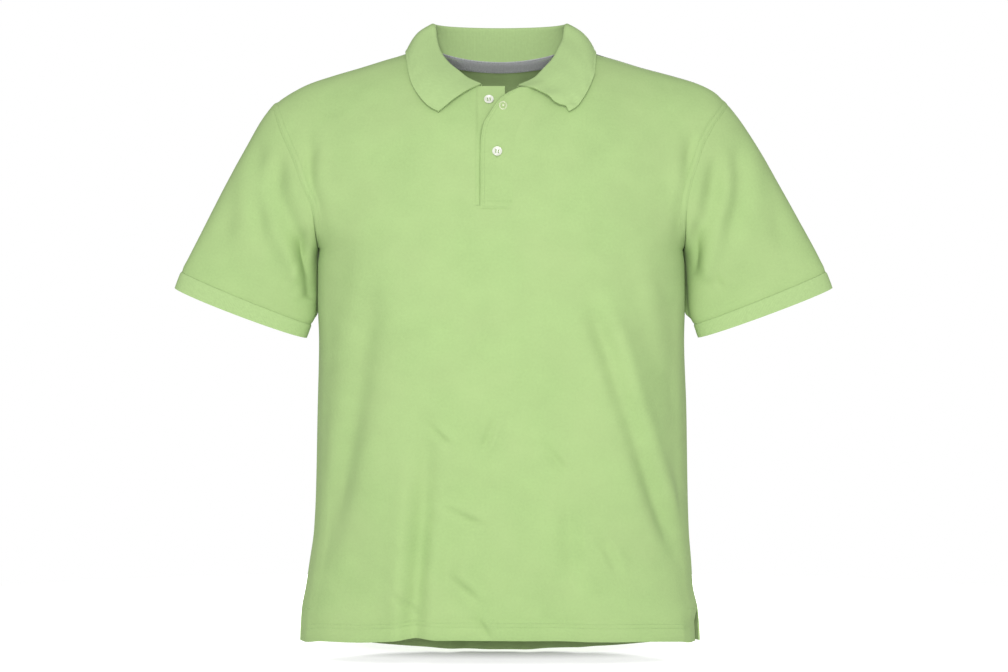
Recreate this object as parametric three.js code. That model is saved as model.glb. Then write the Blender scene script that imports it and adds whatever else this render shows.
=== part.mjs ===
import * as THREE from "three";

// A short-sleeved polo shirt in its worn form, hollow, as if held up by its shoulders.
// Millimetres, +Z up. The front faces -Y and the wearer's left is +X.
// The origin is midway between the two points where the shoulder seams meet the collar.

const CLOTH = 1.8; // wall of the pique panels
const RIB = 2.2; // wall of the flat-knit collar and cuffs
const TAPE = 1.0; // wall of the neck tape
const SEAM = 0.3; // gap between pieces that are sewn together
const HALF = SEAM / 2;

const NECK_HALF = 92; // half the neck width at the shoulder seams
const NECK_DROP_FRONT = 52;
const NECK_DROP_BACK = 13;
const UNDERARM_Z = -250;
const TIP_Z = -68; // level of the shoulder tips
const VENT_TOP_Z = -696;
const SECTION_POWER = 2.4; // how square the body's level sections are
const ARMHOLE_SHARE = 0.62; // depth of the armhole edge as a share of the body's depth there
const EDGE_REACH = 3; // how closely that edge depth keeps to the armhole

// ---- small helpers ----

// A smooth curve through a short table: value of column `to` at `at` in column `from`.
function curve(table, from, to) {
  const xs = table.map((row) => row[from]);
  const ys = table.map((row) => row[to]);
  const last = xs.length - 1;
  const slope = (i) => (ys[i + 1] - ys[i]) / (xs[i + 1] - xs[i]);
  const tangent = xs.map((_, i) => {
    if (i === 0) return slope(0);
    if (i === last) return slope(last - 1);
    const a = slope(i - 1);
    const b = slope(i);
    return a * b <= 0 ? 0 : (2 * a * b) / (a + b);
  });
  return (at) => {
    if (at <= xs[0]) return ys[0] + (at - xs[0]) * tangent[0];
    if (at >= xs[last]) return ys[last] + (at - xs[last]) * tangent[last];
    let i = 0;
    while (at > xs[i + 1]) i += 1;
    const h = xs[i + 1] - xs[i];
    const t = (at - xs[i]) / h;
    const t2 = t * t;
    const t3 = t2 * t;
    return (
      (2 * t3 - 3 * t2 + 1) * ys[i] +
      (t3 - 2 * t2 + t) * h * tangent[i] +
      (3 * t2 - 2 * t3) * ys[i + 1] +
      (t3 - t2) * h * tangent[i + 1]
    );
  };
}

const clamp = (v, low, high) => Math.min(high, Math.max(low, v));
const smooth = (low, high, v) => {
  const t = clamp((v - low) / (high - low), 0, 1);
  return t * t * (3 - 2 * t);
};
const mix = (a, b, t) => a + (b - a) * t;
const vec = (x, y, z) => new THREE.Vector3(x, y, z);
const radians = (degrees) => (degrees * Math.PI) / 180;

// A wall of cloth from a grid of points on its outer face. Seen from outside, columns run to
// the right and rows run up. `kept` says which cells are cloth, `inward` may set the wall's
// direction at a vertex, and `ring` joins the last column to the first.
function wall(grid, thickness, { kept = () => true, inward = () => null, ring = false } = {}) {
  const rows = grid.length;
  const columns = grid[0].length;
  const cellColumns = ring ? columns : columns - 1;
  const isKept = (r, c) => {
    if (r < 0 || r >= rows - 1) return false;
    if (ring) return kept(r, (c + cellColumns) % cellColumns);
    return c >= 0 && c < cellColumns && kept(r, c);
  };
  const next = (c) => (c + 1) % columns;
  const normals = grid.map((row) => row.map(() => vec(0, 0, 0)));
  for (let r = 0; r < rows - 1; r += 1)
    for (let c = 0; c < cellColumns; c += 1) {
      if (!isKept(r, c)) continue;
      const a = grid[r][c];
      const b = grid[r][next(c)];
      const d = grid[r + 1][next(c)];
      const e = grid[r + 1][c];
      const n = d.clone().sub(a).cross(e.clone().sub(b));
      n.normalize();
      for (const [i, j] of [[r, c], [r, next(c)], [r + 1, next(c)], [r + 1, c]])
        normals[i][j].add(n);
    }
  const inner = grid.map((row, r) =>
    row.map((p, c) => {
      const set = inward(r, c);
      const direction = set || normals[r][c].clone().normalize().negate();
      return p.clone().addScaledVector(direction, thickness);
    }),
  );
  const triangles = [];
  const quad = (a, b, d, e) => {
    if (a.distanceTo(d) < b.distanceTo(e)) triangles.push(a, b, d, a, d, e);
    else triangles.push(a, b, e, b, d, e);
  };
  for (let r = 0; r < rows - 1; r += 1)
    for (let c = 0; c < cellColumns; c += 1) {
      if (!isKept(r, c)) continue;
      const n = next(c);
      quad(grid[r][c], grid[r][n], grid[r + 1][n], grid[r + 1][c]);
      quad(inner[r][c], inner[r + 1][c], inner[r + 1][n], inner[r][n]);
      if (!isKept(r - 1, c)) quad(inner[r][c], inner[r][n], grid[r][n], grid[r][c]);
      if (!isKept(r + 1, c)) quad(grid[r + 1][c], grid[r + 1][n], inner[r + 1][n], inner[r + 1][c]);
      if (!isKept(r, c - 1)) quad(grid[r][c], grid[r + 1][c], inner[r + 1][c], inner[r][c]);
      if (!isKept(r, c + 1)) quad(grid[r][n], inner[r][n], inner[r + 1][n], grid[r + 1][n]);
    }
  const geometry = new THREE.BufferGeometry().setFromPoints(triangles);
  geometry.computeVertexNormals();
  return { geometry, inner, normals };
}

// ---- the form of the body ----

// Shoulder line seen from the front; it runs level across the neck.
const SHOULDER_LINE = [
  { x: -300, z: -78 },
  { x: -284, z: -69 },
  { x: -258, z: -52.5 },
  { x: -238, z: -42.5 },
  { x: -208, z: -32.5 },
  { x: -174, z: -22.5 },
  { x: -133, z: -10 },
  { x: -92, z: 0 },
  { x: 92, z: 0 },
  { x: 134, z: -10 },
  { x: 176, z: -22.5 },
  { x: 214, z: -32.5 },
  { x: 247, z: -42.5 },
  { x: 267, z: -52.5 },
  { x: 284, z: -68 },
  { x: 300, z: -80 },
];
const shoulderZ = curve(SHOULDER_LINE, "x", "z");

// Half widths at each level: the armhole seam above the underarm, the side seam below it.
const HALF_WIDTHS = [
  { z: -760, right: 250.5, left: 250.5 },
  { z: -737, right: 250, left: 250 },
  { z: -700, right: 248, left: 247.5 },
  { z: -669, right: 242.5, left: 241 },
  { z: -639, right: 238, left: 239 },
  { z: -600, right: 232.5, left: 236 },
  { z: -550, right: 230, left: 234.5 },
  { z: -450, right: 228, left: 233 },
  { z: -362, right: 226, left: 230 },
  { z: -250, right: 226, left: 229 },
  { z: -231, right: 227.5, left: 229 },
  { z: -200, right: 231.5, left: 230 },
  { z: -170, right: 244, left: 235.5 },
  { z: -145, right: 253, left: 243.5 },
  { z: -127, right: 261, left: 249.5 },
  { z: -100, right: 273, left: 263 },
  { z: -68, right: 284, left: 284 },
  { z: 0, right: 300, left: 300 },
];
const halfWidthRight = curve(HALF_WIDTHS, "z", "right");
const halfWidthLeft = curve(HALF_WIDTHS, "z", "left");
const halfWidth = (z, side) => (side < 0 ? halfWidthRight(z) : halfWidthLeft(z));

// Depth in front of and behind the shoulder seams' plane, by how far a point is below the
// shoulder line. `root` is the square root of that distance.
const DEPTHS = [
  { root: 0, front: 0, back: 0 },
  { root: 1.4, front: 13, back: 21 },
  { root: 2.8, front: 27, back: 43.5 },
  { root: 4, front: 38, back: 60 },
  { root: 6, front: 57, back: 84 },
  { root: 7.2, front: 68, back: 93 },
  { root: 8.4, front: 79, back: 100 },
  { root: 10, front: 93, back: 107 },
  { root: 12.2, front: 108, back: 115 },
  { root: 14.1, front: 118, back: 119 },
  { root: 17.3, front: 127, back: 117 },
  { root: 20, front: 126, back: 110 },
  { root: 22.4, front: 120, back: 104 },
  { root: 24.5, front: 110, back: 100 },
  { root: 27.1, front: 98, back: 98 },
  { root: 28, front: 96, back: 98 },
];
const depthFront = curve(DEPTHS, "root", "front");
const depthBack = curve(DEPTHS, "root", "back");

// Share of the body's depth left at the armhole edge, rising from none at the underarm.
function armholeShare(z) {
  const t = clamp((z - UNDERARM_Z) / 90, 0, 1);
  return ARMHOLE_SHARE * Math.sqrt(1 - (1 - t) * (1 - t));
}

// Depth of the body at a point seen from the front.
function bodyDepth(x, z, depth) {
  const below = Math.max(0, shoulderZ(x) - z);
  const across = clamp(Math.abs(x) / halfWidth(z, Math.sign(x) || 1), 0, 1);
  const edge = armholeShare(z);
  const n = SECTION_POWER;
  const share = (1 - across ** n + (across ** EDGE_REACH * edge) ** n) ** (1 / n);
  return depth(Math.sqrt(below)) * share;
}

// The largest folds, each a soft valley along a line seen from the front, with a low ridge
// beside it. `deep` and `wide` are in millimetres; a positive `ridge` stands on the +X side.
const FRONT_FOLDS = [
  { deep: 5, wide: 15, ridge: -3, line: [[-136, -300], [-158, -362], [-170, -420], [-186, -480], [-204, -545], [-222, -620]] },
  { deep: 6, wide: 17, ridge: 4, line: [[104, -325], [128, -380], [148, -440], [170, -500], [193, -560], [222, -640]] },
  { deep: 4, wide: 16, ridge: -2, line: [[-92, -500], [-98, -570], [-104, -640], [-112, -745]] },
];
const BACK_FOLDS = [
  { deep: 5, wide: 18, ridge: 3, line: [[120, -260], [142, -360], [160, -460], [190, -580]] },
  { deep: 5, wide: 18, ridge: -3, line: [[-118, -270], [-138, -370], [-158, -470], [-186, -590]] },
  { deep: 4, wide: 18, ridge: 2, line: [[20, -520], [28, -610], [40, -770]] },
];

function foldDepth(folds, x, z) {
  let total = 0;
  for (const { deep, wide, ridge, line } of folds) {
    let near = Infinity;
    let side = 1;
    let along = 0;
    for (let i = 0; i + 1 < line.length; i += 1) {
      const [ax, az] = line[i];
      const [bx, bz] = line[i + 1];
      const dx = bx - ax;
      const dz = bz - az;
      const t = clamp(((x - ax) * dx + (z - az) * dz) / (dx * dx + dz * dz), 0, 1);
      const distance = Math.hypot(x - ax - t * dx, z - az - t * dz);
      if (distance < near) {
        near = distance;
        side = Math.sign(x - ax - t * dx) || 1;
        along = (i + t) / (line.length - 1);
      }
    }
    const fade = smooth(0, 0.3, along) * (1 - 0.5 * smooth(0.8, 1, along));
    const valley = deep * Math.exp(-((near / wide) ** 2));
    const beside = Math.exp(-(((near - 1.8 * wide) / wide) ** 2));
    const crest = side === Math.sign(ridge) ? Math.abs(ridge) * beside : 0;
    total += fade * (valley - crest);
  }
  return total;
}

// A fold fades out toward the side seams, the armholes and the shoulder line.
function foldFade(x, z) {
  const across = Math.abs(x) / halfWidth(z, Math.sign(x) || 1);
  return 1 - smooth(0.88, 0.99, across);
}

const frontY = (x, z) =>
  -HALF - bodyDepth(x, z, depthFront) + foldFade(x, z) * foldDepth(FRONT_FOLDS, x, z);
const backY = (x, z) =>
  HALF + bodyDepth(x, z, depthBack) - foldFade(x, z) * foldDepth(BACK_FOLDS, x, z);

const neckShare = (x) => Math.max(0, 1 - (x / NECK_HALF) ** 2);
const frontNeckZ = (x) => -NECK_DROP_FRONT * neckShare(x);
const backNeckZ = (x) => -NECK_DROP_BACK * neckShare(x);

// Hem edges: the front rises a little in the middle, the back drops below the side corners.
const HEMS = [
  { x: -250, front: -737.5, back: -737.5 },
  { x: -225, front: -734, back: -741 },
  { x: -175, front: -733, back: -748 },
  { x: -130, front: -729.5, back: -753.5 },
  { x: -100, front: -726, back: -756 },
  { x: -75, front: -728, back: -758 },
  { x: 0, front: -728, back: -760 },
  { x: 125, front: -730.5, back: -755 },
  { x: 180, front: -732, back: -749 },
  { x: 225, front: -734.5, back: -742 },
  { x: 250, front: -737.5, back: -737.5 },
];
const hemFront = curve(HEMS, "x", "front");
const hemBack = curve(HEMS, "x", "back");

// Levels of the panel rows: below the underarm in millimetres, above it as a share of the
// way to the panel's top edge.
const LOWER_ROWS = [-716, -696, -650, -595, -535, -470, -405, -340, -282];
const UPPER_SHARES = [0, 0.017, 0.067, 0.146, 0.25, 0.371, 0.5, 0.629, 0.75, 0.854, 0.92, 0.955, 0.992, 1];
const BOX_ROW = 4; // the placket's opening ends on this upper row
const HALF_TURN = UPPER_SHARES.length - 1;

// Column positions along the top edge, out from the neck point to the shoulder tip.
const SHOULDER_SHARES = [0.19, 0.4, 0.61, 0.8, 0.93, 0.985, 1];

// The shared line where an armhole meets its sleeve, and the directions of the wall there:
// `inward` is the way through the cloth and `out` points from the panel to the sleeve.
function armhole(side, share, face) {
  const topZ = shoulderZ(side * halfWidth(TIP_Z, side));
  const z = mix(UNDERARM_Z, topZ, share);
  const x = side * halfWidth(z, side);
  const y = face < 0 ? frontY(x, z) + HALF : backY(x, z) - HALF;
  return vec(x, share === 0 || share === 1 ? 0 : y, z);
}

function armholeFrame(side, row, face) {
  const at = (k) =>
    k < 0
      ? armhole(side, UPPER_SHARES[-k], -face)
      : k > HALF_TURN
        ? armhole(side, UPPER_SHARES[2 * HALF_TURN - k], -face)
        : armhole(side, UPPER_SHARES[k], face);
  const point = at(row);
  const isEnd = row === 0 || row === HALF_TURN;
  const tangent = isEnd ? vec(0, 1, 0) : at(row + 1).sub(at(row - 1));
  const centre = armhole(side, 0, -1).add(armhole(side, 1, -1)).multiplyScalar(0.5);
  const inward = centre.sub(point);
  inward.addScaledVector(tangent, -inward.dot(tangent) / tangent.lengthSq()).normalize();
  const out = tangent.cross(inward).normalize();
  if (out.x * side < 0) out.negate();
  return { point, inward, out };
}

// The neck line and the directions of the wall where the collar is sewn on.
function neckFrame(x, face) {
  const z = face < 0 ? frontNeckZ(x) : backNeckZ(x);
  const edge = Math.abs(x) >= NECK_HALF - 0.01;
  const y = edge ? 0 : face < 0 ? frontY(x, z) + HALF : backY(x, z) - HALF;
  const depth = face < 0 ? depthFront(Math.sqrt(NECK_DROP_FRONT)) : depthBack(Math.sqrt(NECK_DROP_BACK));
  const radial = vec(-x / NECK_HALF ** 2, -y / depth ** 2, 0).normalize();
  const inward = radial.multiplyScalar(0.87).add(vec(0, 0, -0.49)).normalize();
  const lift = vec(0, 0, 1).addScaledVector(inward, -inward.z).normalize();
  return { point: vec(x, y, z), inward, lift };
}

// ---- front and back ----

// Edges of the placket's opening in the front panel, seen from the front.
const PLACKET_LEFT_EDGE = -29.5;
const PLACKET_SEAM = [
  { z: -203, x: 15.5 },
  { z: -150, x: 15.5 },
  { z: -120, x: 18 },
  { z: -95, x: 25 },
  { z: -75, x: 34 },
  { z: -60, x: 41 },
  { z: -45, x: 47 },
];
const placketSeamX = curve(PLACKET_SEAM, "z", "x");
const placketRight = (z) => placketSeamX(clamp(z, -203, -40));
const PLACKET_TOP_Z = -48.4;

// Columns between two x values with their shares of the way from one to the other.
function neckColumns(from, to, count) {
  const a = Math.asin(clamp(from / NECK_HALF, -1, 1));
  const b = Math.asin(clamp(to / NECK_HALF, -1, 1));
  return Array.from({ length: count + 1 }, (_, i) => NECK_HALF * Math.sin(mix(a, b, i / count)));
}

function panel({ face, topColumns, anchors, hem, neckZ, kept }) {
  const y = face < 0 ? frontY : backY;
  const [leftTop, rightTop] = [anchors.left(anchors.topZ), anchors.right(anchors.topZ)];
  // Where a column lies at a level: anchored at the two inner edges, spread out to the sides.
  const columnX = (top, z) => {
    const right = halfWidth(Math.min(z, TIP_Z), -1);
    const left = halfWidth(Math.min(z, TIP_Z), 1);
    const [a, b] = [anchors.left(z), anchors.right(z)];
    if (top <= leftTop) return mix(a, -right, (leftTop - top) / (leftTop + halfWidth(TIP_Z, -1)));
    if (top >= rightTop) return mix(b, left, (top - rightTop) / (halfWidth(TIP_Z, 1) - rightTop));
    return mix(a, b, (top - leftTop) / (rightTop - leftTop));
  };
  const ends = [0, topColumns.length - 1];
  const rows = [];
  const edges = [];
  const levels = [null, ...LOWER_ROWS, ...UPPER_SHARES];
  const firstUpper = 1 + LOWER_ROWS.length;
  levels.forEach((level, r) => {
    const upper = r >= firstUpper;
    const points = [];
    const directions = [];
    topColumns.forEach((top, c) => {
      const side = top < 0 ? -1 : 1;
      const isEnd = ends.includes(c);
      const underNeck = Math.abs(top) < NECK_HALF + 0.01;
      let topZ = underNeck ? neckZ(top) : shoulderZ(top);
      if (anchors.flatTop && top >= leftTop - 0.01 && top <= rightTop + 0.01) topZ = PLACKET_TOP_Z;
      let z = level;
      if (upper) z = mix(UNDERARM_Z, topZ, level);
      if (level === null) z = hem(columnX(top, -737));
      const last = r === levels.length - 1;
      let direction = null;
      let point;
      if (isEnd && upper) {
        const frame = armholeFrame(side, r - firstUpper, face);
        point = frame.point.clone().addScaledVector(frame.out, -HALF);
        point.y += r === firstUpper || last ? face * HALF : 0;
        direction = frame.inward;
      } else if (last && underNeck && Math.abs(top) > 0 && !(anchors.flatTop && topZ === PLACKET_TOP_Z)) {
        const frame = neckFrame(top, face);
        point = frame.point.clone().addScaledVector(frame.lift, -HALF);
        if (Math.abs(top) > NECK_HALF - 0.01) point.y = face * HALF;
        direction = frame.inward;
      } else {
        const x = isEnd ? side * halfWidth(z, side) : columnX(top, z);
        point = vec(x, isEnd ? face * HALF : y(x, z), z);
        if (isEnd) direction = vec(-side, 0, 0);
        if (last && !underNeck) direction = vec(0, 0, -1);
      }
      if (last && !underNeck) point.y = face * HALF;
      if (anchors.flatTop && r >= openingRow && (c === openingFirst || c === openingFirst + 4))
        direction = last ? vec(0, 0.87, -0.49) : vec(0, 1, 0);
      if (anchors.flatTop && r === openingRow && c > openingFirst && c < openingFirst + 4)
        direction = vec(0, 1, 0);
      // Below the vent's top the front panel's edge draws in from the back one.
      if (!upper && face < 0) {
        const open = smooth(VENT_TOP_Z + 4, VENT_TOP_Z - 20, point.z);
        const near = smooth(0.9, 1, Math.abs(point.x) / halfWidth(point.z, side));
        point.x -= side * open * near * (side > 0 ? 6.5 : 1.5);
        point.y -= open * near * (side > 0 ? 7 : 3);
      }
      points.push(point);
      directions.push(direction);
    });
    rows.push(points);
    edges.push(directions);
  });
  const order = face < 0 ? (row) => row : (row) => [...row].reverse();
  return wall(rows.map(order), CLOTH, {
    kept,
    inward: (r, c) => order(edges[r])[c],
  });
}

const shoulderColumns = (side) =>
  SHOULDER_SHARES.map((share) => side * mix(NECK_HALF, halfWidth(TIP_Z, side), share));
const frontLeftNeck = neckColumns(-NECK_HALF, PLACKET_LEFT_EDGE, 5);
const frontRightNeck = neckColumns(placketRight(PLACKET_TOP_Z), NECK_HALF, 5);
const placketMiddle = [0.25, 0.5, 0.75].map((t) =>
  mix(PLACKET_LEFT_EDGE, placketRight(PLACKET_TOP_Z), t),
);
const frontColumns = [
  ...shoulderColumns(-1).reverse(),
  ...frontLeftNeck,
  ...placketMiddle,
  ...frontRightNeck,
  ...shoulderColumns(1),
];
const openingFirst = SHOULDER_SHARES.length + frontLeftNeck.length - 1;
const openingRow = 1 + LOWER_ROWS.length + BOX_ROW;

const front = panel({
  face: -1,
  topColumns: frontColumns,
  anchors: {
    topZ: PLACKET_TOP_Z,
    left: () => PLACKET_LEFT_EDGE,
    right: placketRight,
    flatTop: true,
  },
  hem: hemFront,
  neckZ: frontNeckZ,
  kept: (r, c) => r < openingRow || c < openingFirst || c >= openingFirst + 4,
});

const backNeck = neckColumns(-NECK_HALF, NECK_HALF, 12);
const backColumns = [
  ...shoulderColumns(-1).reverse(),
  ...backNeck,
  ...shoulderColumns(1),
];
const back = panel({
  face: 1,
  topColumns: backColumns,
  anchors: {
    topZ: 0,
    left: (z) => (-NECK_HALF * halfWidth(z, -1)) / halfWidth(TIP_Z, -1),
    right: (z) => (NECK_HALF * halfWidth(z, 1)) / halfWidth(TIP_Z, 1),
    flatTop: false,
  },
  hem: hemBack,
  neckZ: backNeckZ,
  kept: () => true,
});

// ---- sleeves and cuffs ----

// Outer and inner edges of the sleeves seen from the front, from the armhole (0) to the cuff
// seam (1), and how deep the sleeve is from front to back. x is measured out from the middle.
const SLEEVES = {
  right: [
    { along: 0, outerX: 284, outerZ: -69, innerX: 226, innerZ: -250, deep: 60, sag: 0 },
    { along: 0.12, outerX: 298, outerZ: -88, innerX: 227.4, innerZ: -259, deep: 57, sag: 0 },
    { along: 0.3, outerX: 320, outerZ: -127, innerX: 228, innerZ: -274, deep: 52, sag: 0 },
    { along: 0.5, outerX: 344, outerZ: -171, innerX: 228.4, innerZ: -293, deep: 45, sag: 1 },
    { along: 0.7, outerX: 366, outerZ: -214, innerX: 228.8, innerZ: -313, deep: 37, sag: 2 },
    { along: 0.88, outerX: 386, outerZ: -253, innerX: 230.5, innerZ: -332, deep: 30, sag: 3 },
    { along: 1, outerX: 398, outerZ: -277, innerX: 236, innerZ: -343, deep: 27, sag: 3 },
    { along: 1.13, outerX: 406, outerZ: -297.5, innerX: 242, innerZ: -359.5, deep: 26, sag: 6 },
  ],
  left: [
    { along: 0, outerX: 284, outerZ: -68, innerX: 229, innerZ: -250, deep: 60, sag: 0 },
    { along: 0.12, outerX: 299, outerZ: -87, innerX: 231, innerZ: -259, deep: 57, sag: 0 },
    { along: 0.3, outerX: 325, outerZ: -127, innerX: 232.5, innerZ: -274, deep: 52, sag: 0 },
    { along: 0.5, outerX: 350, outerZ: -171, innerX: 233.5, innerZ: -293, deep: 45, sag: 1 },
    { along: 0.7, outerX: 374, outerZ: -214, innerX: 234.5, innerZ: -313, deep: 37, sag: 2 },
    { along: 0.88, outerX: 395.5, outerZ: -253, innerX: 237, innerZ: -332, deep: 30, sag: 3 },
    { along: 1, outerX: 407, outerZ: -277, innerX: 242.5, innerZ: -343, deep: 27, sag: 3 },
    { along: 1.13, outerX: 415, outerZ: -297.5, innerX: 248, innerZ: -359.5, deep: 26, sag: 6 },
  ],
};

const SLEEVE_FOLDS = {
  right: [
    { deep: 4, wide: 11, ridge: -2, line: [[-292, -95], [-303, -140], [-300, -190], [-296, -245]] },
    { deep: 5, wide: 10, ridge: 3, line: [[-274, -125], [-270, -180], [-256, -235], [-240, -285]] },
  ],
  left: [
    { deep: 4, wide: 11, ridge: 2, line: [[297, -100], [300, -150], [296, -195], [288, -235]] },
    { deep: 5, wide: 10, ridge: -3, line: [[274, -125], [266, -180], [256, -235], [246, -285]] },
  ],
};

// Around a sleeve: the front half from the inner edge to the outer one, then the back half.
const AROUND = [
  ...UPPER_SHARES.slice(0, -1).map((share, row) => ({ share, row, face: -1 })),
  ...UPPER_SHARES.slice(1).map((share, i) => ({ share, row: i + 1, face: 1 })).reverse(),
];

function tubePoint(side, along, { share, row, face }) {
  const table = side < 0 ? SLEEVES.right : SLEEVES.left;
  const value = (name, at) => curve(table, "along", name)(at);
  const form = (at) => {
    const x = mix(value("innerX", at), value("outerX", at), share);
    const z = mix(value("innerZ", at), value("outerZ", at), share);
    const bulge = 2 * Math.sqrt(Math.max(0, share * (1 - share)));
    return vec(side * x, face * value("deep", at) * bulge ** 0.9, z - value("sag", at) * bulge);
  };
  const point = form(along);
  if (along < 1) {
    const frame = armholeFrame(side, row, face);
    const start = frame.point.addScaledVector(frame.out, HALF);
    const keep = (1 - along) ** 3;
    point.add(start.sub(form(0)).multiplyScalar(keep));
  }
  return point;
}

// Which way is into the tube at a ring: across the ring's own tangent and the tube's run.
function tubeInward(side, along, index) {
  const spot = AROUND[index];
  const before = AROUND[(index + AROUND.length - 1) % AROUND.length];
  const after = AROUND[(index + 1) % AROUND.length];
  const tangent = tubePoint(side, along, after).sub(tubePoint(side, along, before));
  const run = tubePoint(side, along + 0.1, spot).sub(tubePoint(side, along, spot));
  const inward = tangent.cross(run).normalize();
  const middle = tubePoint(side, along, AROUND[0])
    .add(tubePoint(side, along, AROUND[HALF_TURN]))
    .multiplyScalar(0.5)
    .sub(tubePoint(side, along, spot));
  return inward.dot(middle) < 0 ? inward.negate() : inward;
}

function tube(side, stations, { thickness, grow = 0, folds = null, first, last }) {
  const rows = [];
  const directions = [];
  for (const along of stations) {
    rows.push(
      AROUND.map((spot, index) => {
        const point = tubePoint(side, along, spot);
        if (grow) point.addScaledVector(tubeInward(side, Math.max(1, along), index), -grow);
        if (folds) {
          const fade = smooth(0, 0.15, along) * (1 - smooth(0.8, 1, along));
          const bulge = 4 * spot.share * (1 - spot.share);
          point.y -= spot.face * fade * bulge * foldDepth(folds, point.x, point.z);
        }
        return point;
      }),
    );
    directions.push(AROUND.map((_, index) => (along === stations[0] ? first : along === stations.at(-1) ? last : () => null)(index)));
  }
  rows.reverse();
  directions.reverse();
  const order = side > 0 ? (row) => row : (row) => [...row].reverse();
  return wall(rows.map(order), thickness, {
    ring: true,
    inward: (r, c) => order(directions[r])[c],
  });
}

const SLEEVE_STATIONS = [0, 0.07, 0.18, 0.34, 0.52, 0.7, 0.87, 0.9987];
const CUFF_STATIONS = [1, 1.05, 1.13];

const sleeve = (side) =>
  tube(side, SLEEVE_STATIONS, {
    thickness: CLOTH,
    folds: side < 0 ? SLEEVE_FOLDS.right : SLEEVE_FOLDS.left,
    first: (index) => armholeFrame(side, AROUND[index].row, AROUND[index].face).inward,
    last: (index) => tubeInward(side, 1, index),
  });
const cuff = (side) =>
  tube(side, CUFF_STATIONS, {
    thickness: RIB,
    grow: 0,
    first: (index) => tubeInward(side, 1, index),
    last: () => null,
  });

// ---- collar and neck tape ----

const FOLD_HALF = 84; // half the width of the collar's top fold
const FOLD_BACK = 51; // how far behind the middle it passes
const FOLD_TOP_Z = 34;
const FOLD_SLOPE = 1.2; // fall of the fold toward the front, per millimetre forward
const FOLD_RADIUS = 3;
const FRONT_REACH = 68; // how far in front of the middle the collar's ends are
const COLLAR_END_X = 25;

// Outer edge of the turned-down collar by angle round the neck: 0 is the back's middle.
const LEAF_EDGE = {
  right: [
    { angle: 0, x: 0, z: -22 },
    { angle: 30, x: 58, z: -21 },
    { angle: 60, x: 98, z: -17 },
    { angle: 75, x: 111.5, z: -12 },
    { angle: 90, x: 116, z: -6 },
    { angle: 105, x: 114, z: -25 },
    { angle: 120, x: 109, z: -46 },
    { angle: 135, x: 100, z: -62 },
    { angle: 150, x: 88, z: -76 },
    { angle: 165, x: 74, z: -84 },
  ],
  left: [
    { angle: 0, x: 0, z: -22 },
    { angle: 30, x: 58, z: -21 },
    { angle: 60, x: 98, z: -17 },
    { angle: 75, x: 112.5, z: -12 },
    { angle: 90, x: 118, z: -6 },
    { angle: 105, x: 118, z: -27 },
    { angle: 120, x: 112, z: -47 },
    { angle: 135, x: 104, z: -63 },
    { angle: 150, x: 95, z: -76 },
    { angle: 165, x: 83.5, z: -84 },
  ],
};
const LEAF_LIFT = 5.5; // the leaf's edge stands this far off the panels
const LEAF_BOW = 7; // how far the leaf bows out between its fold and its edge

// A point on the body's outer face moved straight out from it.
function offBody(x, z, face, lift) {
  const y = face < 0 ? frontY : backY;
  const step = 1.5;
  const low = Math.min(z, shoulderZ(x) - 0.02);
  const slopeX = (y(x + step, low) - y(x - step, low)) / (2 * step);
  const slopeZ = (y(x, low) - y(x, low - step)) / step;
  const out = vec(-face * slopeX, face, -face * slopeZ).normalize();
  if (z >= shoulderZ(x) - 0.5) out.set(Math.sign(x) * 0.3, 0, 1).normalize();
  return vec(x, z >= shoulderZ(x) - 0.5 ? 0 : y(x, low), low).addScaledVector(out, lift);
}

// The seam end of a collar column: where it is sewn to the neck line at x.
function collarSeam(x, face) {
  const frame = neckFrame(x, face);
  const turn = Math.asin(clamp(Math.abs(x) / NECK_HALF, 0, 1));
  return {
    side: x < 0 ? -1 : 1,
    angle: face > 0 ? turn : Math.PI - turn,
    base: frame.point.clone().addScaledVector(frame.lift, HALF),
    inward: frame.inward,
  };
}

const betweenSeams = (a, b, t) => ({
  side: Math.abs(a.angle) > 0.01 ? a.side : b.side,
  angle: mix(a.angle, b.angle, t),
  base: a.base.clone().lerp(b.base, t),
  inward: a.inward.clone().lerp(b.inward, t).normalize(),
});

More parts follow.
